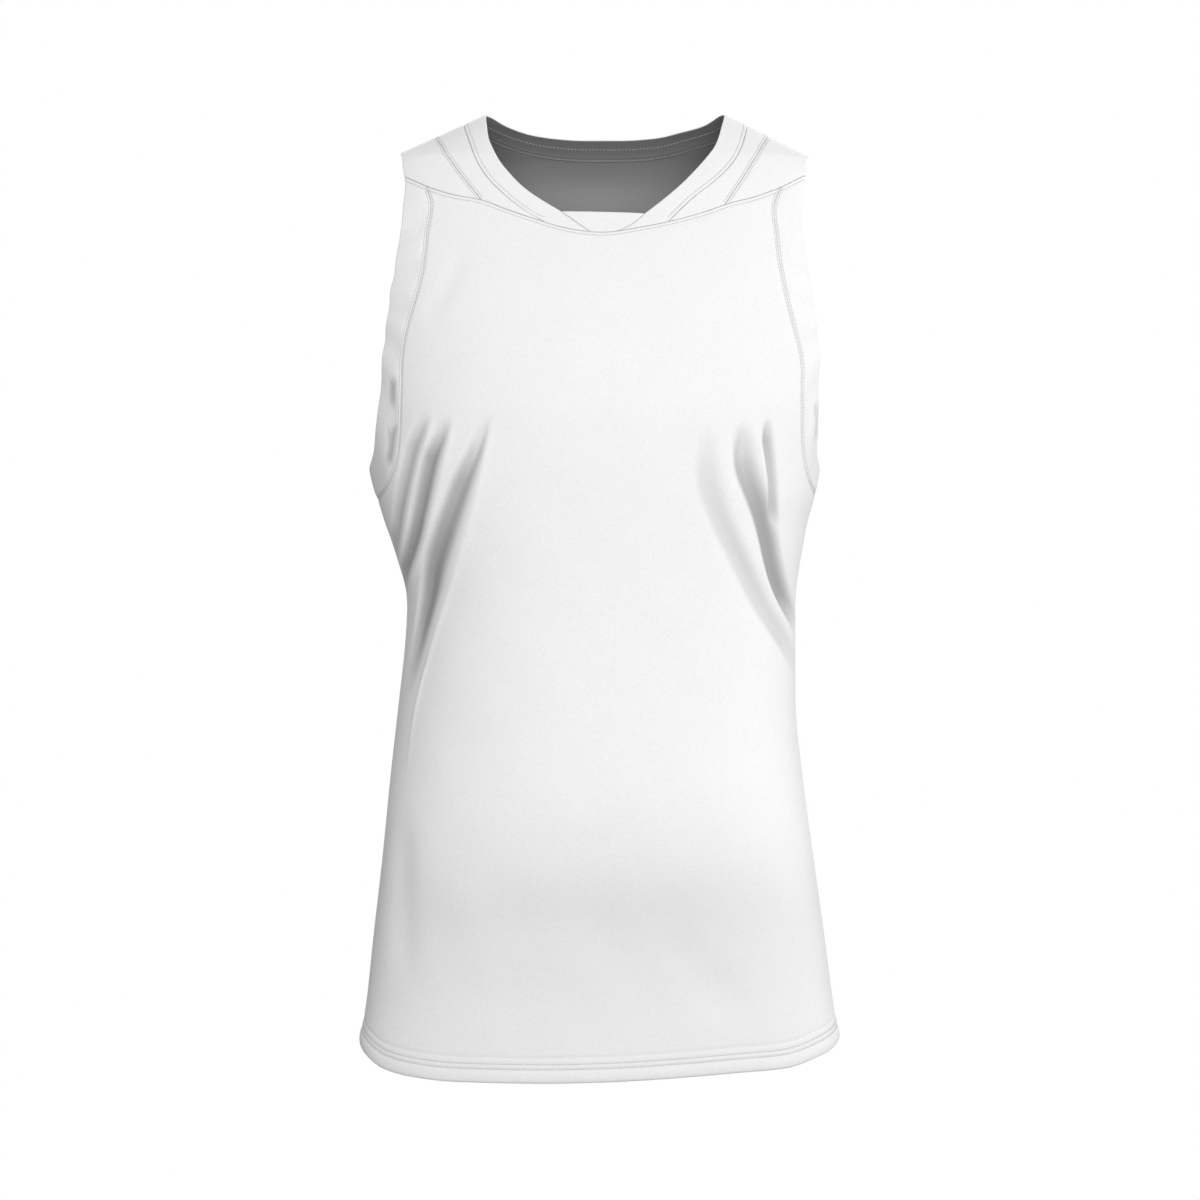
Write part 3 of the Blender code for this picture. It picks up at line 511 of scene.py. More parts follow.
def half(side):
    """Curves of one side of the garment; side is -1 on the left and 1 on the right."""
    left = side < 0
    yoke = settle(smooth_line(seen(YOKE_SEAM if left else YOKE_SEAM[::-1]), 2000))
    diagonal = seen(DIAGONAL_LEFT if left else DIAGONAL_RIGHT)
    neck_seam = seen(NECK_SEAM_LEFT if left else NECK_SEAM_RIGHT)
    insert = seen(INSERT_LEFT if left else INSERT_RIGHT)
    neck_edge = seen(NECK_EDGE_LEFT if left else NECK_EDGE_RIGHT)
    tip = on_armhole(np.array(180.0), 1, side)
    band_top = on_armhole(np.array(180.0), 2, side)
    column = 0 if left else 1
    heights = np.arange(-0.14, 0.02, 0.0002)
    widths = ring_at(heights)[:, column]
    for point in (diagonal[0], neck_seam[0], neck_edge[0]):
        point[1] = 0.0
        point[2] = np.interp(-abs(point[0]), -widths, heights)
    for point in (band_top, tip):
        point[1] = 0.0
        point[0] = side * ring_at(point[2])[column]

    front_edge = on_armhole(np.linspace(175, 0, 900), 1, side)
    start = np.argmin(np.linalg.norm(front_edge[:200] - yoke[0], axis=1))
    yoke[0] = front_edge[start]
    front_edge = front_edge[start:]
    front_seam = on_armhole(np.linspace(170, 0, 900), 2, side)
    gaps = np.linalg.norm(front_seam[:300, None] - yoke[None, :900], axis=-1)
    meet_seam, meet_yoke = np.unravel_index(np.argmin(gaps), gaps.shape)
    front_seam = front_seam[meet_seam:]
    front_seam[0] = yoke[meet_yoke]
    front_seam = settle(relaxed(sampled(front_seam, np.linspace(0, 1, 900)), 0.010))
    share = share_of_run(yoke)
    marks = [0.0, share[meet_yoke], nearest_share(yoke, diagonal[-1]),
             nearest_share(yoke, neck_seam[-1]), nearest_share(yoke, insert[-1])]
    corners = sampled(yoke, marks)
    diagonal[-1], neck_seam[-1], insert[-1] = corners[2], corners[3], corners[4]
    back_edge = on_armhole(np.linspace(0, -180, 900), 1, side)
    back_seam = on_armhole(np.linspace(0, -180, 900), 2, side)
    back_edge[-1], back_seam[-1] = tip, band_top
    yoke_edge = on_armhole(np.linspace(180, 175 - start * 175 / 899, 200), 1, side)
    yoke_edge[0], yoke_edge[-1] = tip, yoke[0]
    return dict(
        tip=tip, band_top=band_top, yoke=yoke, marks=marks,
        diagonal=settle(smooth_line(diagonal)), neck_outer=settle(smooth_line(neck_seam)),
        neck_inner=joined(settle(smooth_line(neck_edge)), settle(smooth_line(insert))),
        insert_side=settle(smooth_line(insert)), yoke_edge=yoke_edge,
        front_edge=front_edge, front_seam=front_seam,
        back_edge=back_edge, back_seam=back_seam)


L, R = half(-1), half(1)
SIDES = (("left", L), ("right", R))
for _, H in SIDES:
    for name in ("diagonal", "neck_outer", "neck_inner"):
        H[name][0, 1] = 0.0
BACK_INNER = settle(smooth_line(seen(BACK_NECK_EDGE, True), 600))
BACK_INNER[0], BACK_INNER[-1] = L["neck_inner"][0], R["neck_inner"][0]


def back_neck_seam():
    """Seam of the neckband round the back, a band's width below its edge."""
    run = unit(np.gradient(BACK_INNER, axis=0))
    line = BACK_INNER.copy()
    for _ in range(6):
        way = unit(np.cross(outward(line), run))
        way *= np.sign(way[len(way) // 2, 1])
        line = settle(line + way * NECKBAND_WIDTH / 6)
    t = np.linspace(0, 1, len(line))[:, None]
    start = np.clip(1 - t * 6, 0, 1) ** 2
    end = np.clip(1 - (1 - t) * 6, 0, 1) ** 2
    first, last = L["neck_outer"][0], R["neck_outer"][0]
    line = settle(line + start * (first - line[0]) + end * (last - line[-1]))
    line[0], line[-1] = first, last
    return line


BACK_OUTER = back_neck_seam()


def round_body(turn):
    """Distance round a middling ring to an angle from its front or back."""
    fine = np.linspace(-math.pi, math.pi, 1441)
    ring = np.stack([0.175 * np.sin(fine), 0.105 * np.cos(fine)], -1)
    way = np.arctan2(ring[:, 0], ring[:, 1])
    run = run_of(ring)
    way[0], way[-1] = -math.pi, math.pi
    return np.interp(turn, way, run - run[-1] / 2)


def hem_height(turn, back=False):
    """Height of the hem's edge at an angle round from the middle."""
    points = seen(HEM_FRONT)
    across, _ = reach(points)
    ratio = np.clip(np.abs(points[:, 0]) / across, 0, 1) ** (RING_POWER / 2)
    angle = np.arcsin(ratio) * np.sign(points[:, 0])
    angle[0], angle[-1] = -math.pi / 2, math.pi / 2
    points[0, 2], points[-1, 2] = HEM_SIDE_LEFT, HEM_SIDE_RIGHT
    height = eased(angle, points[:, 2])(turn)
    base = np.interp(turn, [-math.pi / 2, math.pi / 2], [HEM_SIDE_LEFT, HEM_SIDE_RIGHT])
    return base + (height - base) * (BACK_HEM_DROP if back else 1.0)


def hem_line(rise, back=False, turn=None):
    """Line that runs a set height above the hem's edge, from side to side."""
    if turn is None:
        turn = np.linspace(-math.pi / 2, math.pi / 2, 1200)
    line = on_ring(turn, hem_height(turn, back) + rise, back)
    line[0, 1] = line[-1, 1] = 0.0
    return line


# ---------------------------------------------------------------- relief of the cloth

def along_line(p, line, room):
    """For points near a line: which, distance to its right, share of the way along it."""
    low, high = line.min(0) - room, line.max(0) + room
    near = np.flatnonzero(np.all((p > low) & (p < high), axis=1))
    q = p[near]
    best = np.full(len(q), 1e9)
    share, hand = np.zeros(len(q)), np.zeros(len(q))
    for k in range(len(line) - 1):
        a, ab = line[k], line[k + 1] - line[k]
        t = np.clip(((q - a) @ ab) / (ab @ ab), 0, 1)
        off = q - (a + t[:, None] * ab)
        gap = np.linalg.norm(off, axis=1)
        closer = gap < best
        best = np.where(closer, gap, best)
        share = np.where(closer, (k + t) / (len(line) - 1), share)
        hand = np.where(closer, off[:, 0], hand)
    return near, best * np.where(hand < 0, -1, 1), share


def eased_step(x):
    x = np.clip(x, 0, 1)
    return x * x * (3 - 2 * x)


def fold_parts(p):
    """Each fold at each point near it: which points, lift and painted shade."""
    for (where, depth, near_top, low_down, back_up, crest,
         shade_top, shade_low, ends, points) in FOLDS:
        line = settle(smooth_line(seen(points, where == "back"), 60))
        near, off, share = along_line(p, line, 0.06)
        off = off * 1000
        # the crease: how wide it sinks, then how deep it is across and along the fold
        sunk = near_top + (low_down - near_top) * np.clip(share / 0.42, 0, 1) ** 0.75
        sunk = sunk * (0.45 + 0.55 * eased_step(share / 0.22))
        fall = np.clip(-off / sunk, 0, 1)
        rise = np.clip((-off - sunk) / back_up, 0, 1)
        hollow = np.sin(math.pi / 2 * fall ** 1.35) ** 2 * np.cos(math.pi / 2 * rise) ** 2
        hollow = hollow * eased_step(share / 0.14) * eased_step((ends - share) / 0.30)
        # the crest: a sharp ridge on a wider one
        ridge = crest * (np.exp(-(off / 2.1) ** 2) + 0.4 * np.exp(-(off / 5.0) ** 2))
        ridge = ridge * eased_step(share / 0.10) * eased_step((1 - share) / 0.30)
        # painted shade lies in the deep part of the crease
        shade = shade_top + (shade_low - shade_top) * eased_step(share / 0.5)
        shade = shade * eased_step(share / 0.20) * eased_step((ends - share) / 0.26)
        crease = eased_step((fall - 0.08) / 0.67) * (1 - eased_step((rise - 0.3) / 0.7))
        yield near, (ridge - depth * hollow) / 1000, shade * crease


def fold_painted_shade(p):
    """How much painted shade darkens the cloth in its creases, 0 to 1."""
    painted_shade = np.zeros(len(p))
    for near, _, shade in fold_parts(p):
        painted_shade[near] = np.maximum(painted_shade[near], shade)
    return painted_shade


def fold_lift(p):
    """How far the folds lift the cloth off the form, or sink it, at each point."""
    lift = np.zeros(len(p))
    facing = np.clip(np.abs(outward(p)[:, 1]) / 0.42, 0, 1) ** 1.3
    for near, height, _ in fold_parts(p):
        lift[near] += height
    for where, height, reach_mm, points in SWELLS:
        line = settle(smooth_line(seen(points, where == "back"), 60))
        near, off, share = along_line(p, line, 0.08)
        taper = eased_step(share / 0.3) * eased_step((1 - share) / 0.3)
        lift[near] += height / 1000 * taper * np.exp(-(off * 1000 / reach_mm) ** 2)
    return lift * facing


def drape_lift(p):
    """Slow shallow unevenness of cloth that hangs free: three waves that never line up."""
    turn = np.arctan2(p[:, 0], np.where(p[:, 1] < 0, -p[:, 1], p[:, 1] + 0.02))
    z = p[:, 2]
    back = p[:, 1] > 0
    wave = (np.sin(3.1 * turn + 9 * z + 0.6) * np.sin(13 * z + 1.1)
            + 0.6 * np.sin(5.3 * turn - 15 * z + 2.0) * np.sin(21 * z + 0.4)
            + 0.35 * np.sin(9.7 * turn + 31 * z) * np.sin(37 * z + 2.2 * turn))
    wave = np.where(back, -0.9 * wave, wave)
    calm = np.clip((-0.12 - z) / 0.12, 0, 1)
    sides = np.clip(np.abs(p[:, 1]) / 0.03, 0, 1)
    return DRAPE_HEIGHT * wave * calm * sides


def relief(p):
    return fold_lift(p) + drape_lift(p)


def gap_to(points, marks, limit):
    """Distance from each point to the nearest of some marks, up to a limit."""
    if not len(marks):
        return np.full(len(points), limit)
    tree = kdtree.KDTree(len(marks))
    for i, mark in enumerate(marks):
        tree.insert(Vector(mark), i)
    tree.balance()
    return np.array([min(limit, tree.find(Vector(p))[2]) for p in points])


def distances(points, lines, limit=FAR):
    """Distance from each point to the nearest of some fine lines."""
    marks = [sampled(line, np.linspace(0, 1, max(2, int(length_of(line) / 0.0004))))
             for line in lines]
    return gap_to(points, np.concatenate(marks) if marks else [], limit)


# ---------------------------------------------------------------- stitch lines

def stitch_lines():
    """Every row of stitches on the outside: name, fine line on the form."""
    rows = []
    for word, H in SIDES:
        seam = joined(H["front_seam"], H["back_seam"])
        seam = sampled(seam, np.linspace(0.004, 0.996, 1500))
        diagonal = sampled(H["diagonal"], np.linspace(0.02, 0.98, 200))
        for hand in (1, -1):
            rows.append(("armhole_" + word, beside(seam, hand * ARMHOLE_STITCHES)))
        for hand in (1, -1):
            rows.append(("shoulder_" + word, beside(diagonal, hand * DIAGONAL_STITCHES)))
    yoke = sampled(L["yoke"], np.linspace(0.01, 0.99, 900))
    rows.append(("yoke", beside(yoke, -YOKE_STITCHES)))
    seam = joined(L["neck_outer"][::-1], BACK_OUTER, R["neck_outer"])
    seam = sampled(seam, np.linspace(0.006, 0.994, 1600))
    rows.append(("neckband", beside(seam, -NECKBAND_STITCHES)))
    for rise in HEM_STITCHES:
        rows.append(("hem", hem_line(rise)[4:-4]))
        rows.append(("hem", hem_line(rise, True)[4:-4]))
    return rows


STITCH_LINES = stitch_lines()


# ---------------------------------------------------------------- materials

def add_node(tree, kind, inputs, **settings):
    """A node with its settings; an input is a value or another node's output."""
    node = tree.nodes.new(kind)
    for name, value in settings.items():
        setattr(node, name, value)
    for name, value in inputs.items():
        if isinstance(value, bpy.types.NodeSocket):
            tree.links.new(value, node.inputs[name])
        else:
            node.inputs[name].default_value = value
    return node


def scaled_sum(tree, value, factor, more, clamp=False):
    """The value times a factor, plus more."""
    return add_node(tree, "ShaderNodeMath", {0: value, 1: factor, 2: more},
                    operation="MULTIPLY_ADD", use_clamp=clamp).outputs["Value"]


def blend_of(tree, share, first, second):
    """A colour between two others."""
    return add_node(tree, "ShaderNodeMix", {"Factor": share, "A": first, "B": second},
                    data_type="RGBA").outputs["Result"]


def new_material(name):
    """A material with its node tree and its shader."""
    material = bpy.data.materials.new(name)
    material.use_nodes = True
    return material, material.node_tree, material.node_tree.nodes["Principled BSDF"]


def raise_surface(tree, shader, height, strength, distance):
    bump = add_node(tree, "ShaderNodeBump", {"Strength": strength, "Distance": distance,
                                             "Height": height})
    tree.links.new(bump.outputs["Normal"], shader.inputs["Normal"])


def knit_material(name, colour, cloth, shade_from, shade_to, shade_by):
    """Fine polyester knit: rows of loops, a little unevenness and a soft sheen.

    Painted shade darkens it from one height to another, and in the seams and the creases.
    """
    material, tree, shader = new_material(name)
    on_cloth = add_node(tree, "ShaderNodeUVMap", {}, uv_map="cloth").outputs["UV"]
    wales, courses = [
        add_node(tree, "ShaderNodeTexWave",
                 {"Scale": math.tau / 20 / size, "Distortion": 0.6, "Detail": 1.0,
                  "Vector": on_cloth},
                 wave_type="BANDS", bands_direction=way, wave_profile="SIN").outputs["Fac"]
        for way, size in (("X", cloth.loop_width), ("Y", cloth.loop_height))]
    loops = add_node(tree, "ShaderNodeMath", {0: wales, 1: courses},
                     operation="MULTIPLY").outputs["Value"]
    in_space = add_node(tree, "ShaderNodeTexCoord", {}).outputs["Object"]
    fuzz, clouds = [
        add_node(tree, "ShaderNodeTexNoise", {"Scale": scale, "Detail": detail,
                                              "Vector": in_space}).outputs["Fac"]
        for scale, detail in ((620, 4), (26, 5))]

    grain = scaled_sum(tree, fuzz, 2.0, -0.5)
    tone = blend_of(tree, scaled_sum(tree, clouds, 0.45, grain, clamp=True),
                    (*[0.92 * c for c in colour], 1), (*colour, 1))
    height = add_node(tree, "ShaderNodeSeparateXYZ", {"Vector": in_space}).outputs["Z"]
    shade_by_height = add_node(tree, "ShaderNodeMapRange",
                         {"From Min": shade_from, "From Max": shade_to, "To Max": shade_by,
                          "Value": height}, interpolation_type="SMOOTHSTEP").outputs["Result"]
    seam_shade, crease_shade = [
        add_node(tree, "ShaderNodeAttribute", {}, attribute_name=kept).outputs["Fac"]
        for kept in ("seam_shade", "crease_shade")]
    # painted shade: creases, seams and height blend the colour toward a quarter of itself
    painted_shading = scaled_sum(tree, crease_shade, cloth.crease_painted_shade,
                         scaled_sum(tree, seam_shade, cloth.seam_painted_shade, shade_by_height), clamp=True)
    painted_shade = blend_of(tree, painted_shading, tone, (*[0.25 * c for c in colour], 1))
    tree.links.new(painted_shade, shader.inputs["Base Color"])
    raise_surface(tree, shader, scaled_sum(tree, fuzz, 0.55, loops),
                  cloth.knit_strength, 0.00022)
    shader.inputs["Roughness"].default_value = cloth.roughness
    shader.inputs["Sheen Weight"].default_value = 0.12
    shader.inputs["Sheen Roughness"].default_value = 0.4
    shader.inputs["Specular IOR Level"].default_value = 0.3
    return material


def thread_material(sewing):
    """Twisted thread, a little darker in the twist."""
    material, tree, shader = new_material("sewing_thread")
    place = add_node(tree, "ShaderNodeTexCoord", {}).outputs["Object"]
    twist = add_node(tree, "ShaderNodeTexNoise", {"Scale": 900, "Vector": place}).outputs["Fac"]
    tone = blend_of(tree, twist, (*[0.82 * c for c in sewing.thread_colour], 1),
                    (*sewing.thread_colour, 1))
    tree.links.new(tone, shader.inputs["Base Color"])
    raise_surface(tree, shader, twist, 0.4, 0.0001)
    shader.inputs["Roughness"].default_value = 0.5
    return material


def shared_materials(cloth):
    """The outside and the inside of the cloth, made once."""
    have = bpy.data.materials.get
    outside = have("jersey_knit") or knit_material(
        "jersey_knit", cloth.colour, cloth, *LOW_SHADE_HEIGHTS, cloth.low_painted_shade)
    # the inside's darker colour is painted shade for the hollow of the garment, with more
    # painted shade near the neckband
    inside = have("jersey_knit_inside") or knit_material(
        "jersey_knit_inside", cloth.inside_shaded_colour, cloth, *NECK_SHADE_HEIGHTS, cloth.neck_painted_shade)
    return outside, inside


# ---------------------------------------------------------------- cloth pieces

def run_round(p):
    """Distance round the armhole, at a middling radius of it."""
    return np.arctan2(-p[:, 1], ARMHOLE_MID - p[:, 2]) * 0.09


def cloth_piece(name, grids, cut_lines, cloth, hem=False, waves=0.0):
    """One cut piece of cloth from grids that share an edge, with its wall closed."""
    points = np.concatenate([grid.reshape(-1, 3) for grid in grids])
    _, first, index = np.unique(np.round(points * 1e7).astype(np.int64), axis=0,
                                return_index=True, return_inverse=True)
    base, index = points[first], index.ravel()
    faces, start = [], 0
    for grid in grids:
        rows, cols = grid.shape[:2]
        ids = index[start:start + rows * cols].reshape(rows, cols)
        start += rows * cols
        faces.append(np.stack([ids[:-1, :-1], ids[1:, :-1], ids[1:, 1:], ids[:-1, 1:]], -1)
                     .reshape(-1, 4))
    faces = np.concatenate(faces)
    normals = outward(base)
    mid = faces[len(faces) // 2]
    facing = np.cross(base[mid[1]] - base[mid[0]], base[mid[3]] - base[mid[0]])
    if facing @ normals[mid[0]] < 0:
        faces = faces[:, ::-1]

    # the outline is every edge with one face
    ones = np.concatenate([faces[:, [k, (k + 1) % 4]] for k in range(4)])
    code = ones[:, 0] * 10 ** 7 + ones[:, 1]
    back_code = ones[:, 1] * 10 ** 7 + ones[:, 0]
    outline = ones[~np.isin(code, back_code)]
    cut_gap = distances(base, cut_lines)
    rim = np.unique(outline)
    seam_gap = gap_to(base, base[rim[cut_gap[rim] > 0.0004]], FAR)
    stitch_gap = distances(base, [line for _, line in STITCH_LINES])

    lift = relief(base)
    lift -= SEAM_DRAW * np.exp(-(seam_gap / SEAM_REACH) ** 2)
    lift -= STITCH_DRAW * np.exp(-(stitch_gap / STITCH_REACH) ** 2)
    if waves:
        lift += waves * np.sin(run_round(base) / 0.0062 + 0.9) * eased_step(seam_gap / 0.008)
    # painted shade along the sewn edges and the rows of stitches, where shade falls in the
    # grooves
    seam_shade = np.maximum(0.75 * np.exp(-(seam_gap / 0.0005) ** 2),
                         0.5 * np.exp(-(stitch_gap / 0.00045) ** 2))
    # painted shade in the creases of the folds, where shade falls
    crease_shade = fold_painted_shade(base)
    thickness = np.full(len(base), cloth.wall)
    if hem:
        turn_gap = distances(base, [hem_line(HEM_DEPTH), hem_line(HEM_DEPTH, True)], 0.05)
        edge_gap = distances(base, [hem_line(0.0), hem_line(0.0, True)], 0.05)
        folded = edge_gap < HEM_DEPTH + 0.0002
        thickness = np.where(folded, 2 * cloth.wall, cloth.wall)
        roll = np.clip(edge_gap / HEM_STITCHES[1], 0, 1)
        lift += np.where(edge_gap < HEM_STITCHES[1],
                         HEM_ROLL * np.sin(math.pi * roll) ** 0.8, 0)
        lift += HEM_WELT * np.exp(-((edge_gap - HEM_WELT_AT) / HEM_REACH) ** 2)
        lift -= HEM_TURN_DRAW * np.exp(-(turn_gap / HEM_REACH) ** 2)
    roll = thickness / 2
    bend = np.clip(1 - cut_gap / roll, 0, 1)
    tuck = roll * (1 - np.sqrt(1 - np.minimum(bend, 0.999) ** 2))
    outer = base + normals * (lift - tuck)[:, None]
    inner = base + normals * (lift - thickness + tuck)[:, None]

    # sewn edges are drawn in by a hair, so that neighbours never touch
    ways = np.zeros_like(base)
    run = base[outline[:, 1]] - base[outline[:, 0]]
    way = np.cross(normals[outline[:, 0]], run)
    way /= np.maximum(np.linalg.norm(way, axis=1, keepdims=True), 1e-12)
    np.add.at(ways, outline[:, 0], way)
    np.add.at(ways, outline[:, 1], way)
    size = np.linalg.norm(ways, axis=1, keepdims=True)
    ways = np.where(size > 0.2, ways / np.maximum(size, 0.2), 0) * cloth.seam_gap / 2
    outer, inner = outer + ways, inner + ways

    count = len(base)
    verts = np.concatenate([outer, inner])
    walls = np.stack([outline[:, 0], outline[:, 0] + count, outline[:, 1] + count,
                      outline[:, 1]], -1)
    shell = np.concatenate([faces, faces[:, ::-1] + count, walls])
    mesh = bpy.data.meshes.new(name)
    mesh.from_pydata(verts.tolist(), [], shell.tolist())
    mesh.update()
    outside, inside = shared_materials(cloth)
    mesh.materials.append(outside)
    mesh.materials.append(inside)
    slot = np.zeros(len(shell), np.int32)
    slot[len(faces):2 * len(faces)] = 1
    mesh.polygons.foreach_set("material_index", slot)

    # the knit runs round the body and straight down it
    facing = 1 if np.any((base[:, 1] > 0) & (np.abs(base[:, 0]) < 0.01)) else -1
    flat = np.stack([round_body(np.arctan2(base[:, 0], facing * base[:, 1])), base[:, 2]], -1)
    flat = np.concatenate([flat, flat])
    corner = np.zeros(len(mesh.loops), np.int32)
    mesh.loops.foreach_get("vertex_index", corner)
    cloth_map = mesh.uv_layers.new(name="cloth")
    cloth_map.data.foreach_set("uv", flat[corner].ravel())
    # painted shade of the seams and stitch rows, half as strong on the inside
    shade = mesh.attributes.new("seam_shade", "FLOAT", "POINT")
    shade.data.foreach_set("value", np.concatenate([seam_shade, 0.5 * seam_shade]))
    # painted shade of the creases, on the outside only
    shade = mesh.attributes.new("crease_shade", "FLOAT", "POINT")
    shade.data.foreach_set("value", np.concatenate([crease_shade, 0 * crease_shade]))
    mesh.shade_smooth()
    piece = bpy.data.objects.new(name, mesh)
    bpy.context.scene.collection.objects.link(piece)
    return piece


def sew(node, slot, grids, cut_lines, cloth, **finish):
    """The cloth that stands for a node, in place of its part; its cut size is read from the
    table.
    """
    kind, _, side = node.rpartition("_")
    if side in dict(SIDES):
        name = kind + "_cloth_" + side
    else:
        kind, name = node, node.replace("_panel", "") + "_cloth"
    piece = cloth_piece(name, grids, cut_lines, cloth, **finish)
    wide, tall, area = CUT_SIZES[kind]
    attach(piece, "root")
    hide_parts(node)


def panel_grids(back, cell):
    """Upper grid between the armholes, lower one between the side seams, and the hem."""
    if back:
        left, right = L["back_seam"][::-1], R["back_seam"][::-1]
        top = joined(straight(L["band_top"], L["neck_outer"][0]), BACK_OUTER,
                     straight(R["neck_outer"][0], R["band_top"]))
    else:
        left, right = L["front_seam"], R["front_seam"]
        ends = L["marks"][1], 1 - R["marks"][1]
        top = cut(L["yoke"], *ends, 1200)
        top[0], top[-1] = left[0], right[0]
    left_top, left_under = cut(left, 0, UNDER_ARM, 900), cut(left, UNDER_ARM, 1, 400)
    right_top, right_under = cut(right, 0, UNDER_ARM, 900), cut(right, UNDER_ARM, 1, 400)
    middle = level_line(left_top[-1], right_top[-1], back)
    fine, wide = cell, 2.6 * cell
    columns = stops((length_of(top) + length_of(middle)) / 2,
                    [(0, fine), (0.27, fine), (0.36, wide), (0.64, wide), (0.73, fine),
                     (1, fine)])
    rows = stops((length_of(left_top) + length_of(right_top)) / 2,
                 [(0, wide), (0.70, wide), (0.86, 1.3 * fine), (1, 1.3 * fine)], EDGE_STEPS, ())
    middle = sampled(middle, columns)
    upper = fill(sampled(top, columns), middle, sampled(left_top, rows),
                 sampled(right_top, rows))
    under = stops((length_of(left_under) + length_of(right_under)) / 2, fine, (), EDGE_STEPS)
    lower_top = joined(sampled(left_under, under)[::-1], middle, sampled(right_under, under))
    fine_turn = np.linspace(-math.pi / 2, math.pi / 2, 4000)
    fine_hem = hem_line(HEM_ROWS[0], back, fine_turn)
    turns = np.interp(share_of_run(lower_top), share_of_run(fine_hem), fine_turn)
    hem_rows = np.stack([hem_line(rise, back, turns) for rise in HEM_ROWS])
    for k in (0, -1):
        hem_rows[:, k, 1] = 0.0
    sides = []
    for side, bottom, start in ((0, hem_rows[0, 0], lower_top[0]),
                                (1, hem_rows[0, -1], lower_top[-1])):
        z = np.linspace(start[2], bottom[2], 900)
        ring = ring_at(z)
        line = np.stack([(-ring[:, 0] if side == 0 else ring[:, 1]), 0 * z, z], -1)
        line[0], line[-1] = start, bottom
        sides.append(line)
    down = stops(length_of(sides[0]),
                 [(0, 1.3 * fine), (0.45, 1.3 * fine), (0.62, wide), (1, wide)], EDGE_STEPS, ())
    lower = fill(lower_top, hem_rows[0], sampled(sides[0], down), sampled(sides[1], down))
    return [upper, lower, hem_rows]


# ---------------------------------------------------------------- stitches

def stitch_tree(sewing):
    """Geometry Nodes: lays one stitch after another along a row."""
    tree = bpy.data.node_groups.new("stitch_row", "GeometryNodeTree")
    face = tree.interface
    face.new_socket("Geometry", in_out="INPUT", socket_type="NodeSocketGeometry")
    for label, value in (("Pitch", sewing.pitch), ("Length", sewing.length),
                         ("Thickness", sewing.thickness)):
        socket = face.new_socket(label, in_out="INPUT", socket_type="NodeSocketFloat")
        socket.default_value = value
    face.new_socket("Thread", in_out="INPUT", socket_type="NodeSocketMaterial")
    face.new_socket("Geometry", in_out="OUTPUT", socket_type="NodeSocketGeometry")
    node, link = tree.nodes.new, tree.links.new
    given, out = node("NodeGroupInput"), node("NodeGroupOutput")
    curve = node("GeometryNodeMeshToCurve")
    spaced = node("GeometryNodeResampleCurve")
    spaced.mode = "LENGTH"
    tangent = node("GeometryNodeInputTangent")
    turn = node("FunctionNodeAlignEulerToVector")
    turn.axis = "X"
    bead = add_node(tree, "GeometryNodeMeshUVSphere",
                    {"Segments": 8, "Rings": 4, "Radius": 0.5})
    size = node("ShaderNodeCombineXYZ")
    place = node("GeometryNodeInstanceOnPoints")
    real = node("GeometryNodeRealizeInstances")
    coat = node("GeometryNodeSetMaterial")
    for giver, output, taker, wanted in (
            (given, "Geometry", curve, "Mesh"), (curve, "Curve", spaced, "Curve"),
            (given, "Pitch", spaced, "Length"), (tangent, "Tangent", turn, "Vector"),
            (given, "Length", size, "X"), (given, "Thickness", size, "Y"),
            (given, "Thickness", size, "Z"), (spaced, "Curve", place, "Points"),
            (bead, "Mesh", place, "Instance"), (turn, "Rotation", place, "Rotation"),
            (size, "Vector", place, "Scale"), (place, "Instances", real, "Geometry"),
            (real, "Geometry", coat, "Geometry"), (given, "Thread", coat, "Material"),
            (coat, "Geometry", out, "Geometry")):
        link(giver.outputs[output], taker.inputs[wanted])
    return tree


def stitch_rows(name, lines, tree, thread, sewing):
    """All rows of one seam as one plain mesh of stitches."""
    verts, edges = [], []
    for line in lines:
        start = len(verts)
        verts.extend(line.tolist())
        edges.extend((start + i, start + i + 1) for i in range(len(line) - 1))
    mesh = bpy.data.meshes.new(name + "_rows")
    mesh.from_pydata(verts, edges, [])
    rows = bpy.data.objects.new(name + "_rows", mesh)
    bpy.context.scene.collection.objects.link(rows)
    nodes = rows.modifiers.new("stitches", "NODES")
    nodes.node_group = tree
    sockets = {item.name: item.identifier for item in tree.interface.items_tree
               if item.item_type == "SOCKET" and item.in_out == "INPUT"}
    nodes[sockets["Pitch"]] = sewing.pitch
    nodes[sockets["Length"]] = sewing.length
    nodes[sockets["Thickness"]] = sewing.thickness
    nodes[sockets["Thread"]] = thread
    ready = rows.evaluated_get(bpy.context.evaluated_depsgraph_get())
    plain = bpy.data.meshes.new_from_object(ready)
    rows.modifiers.clear()
    bpy.data.objects.remove(rows, do_unlink=True)
    plain.name = name
    plain.materials.clear()
    plain.materials.append(thread)
    plain.shade_smooth()
    piece = bpy.data.objects.new(name, plain)
    bpy.context.scene.collection.objects.link(piece)
    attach(piece, "root")
    return piece


# ---------------------------------------------------------------- settings

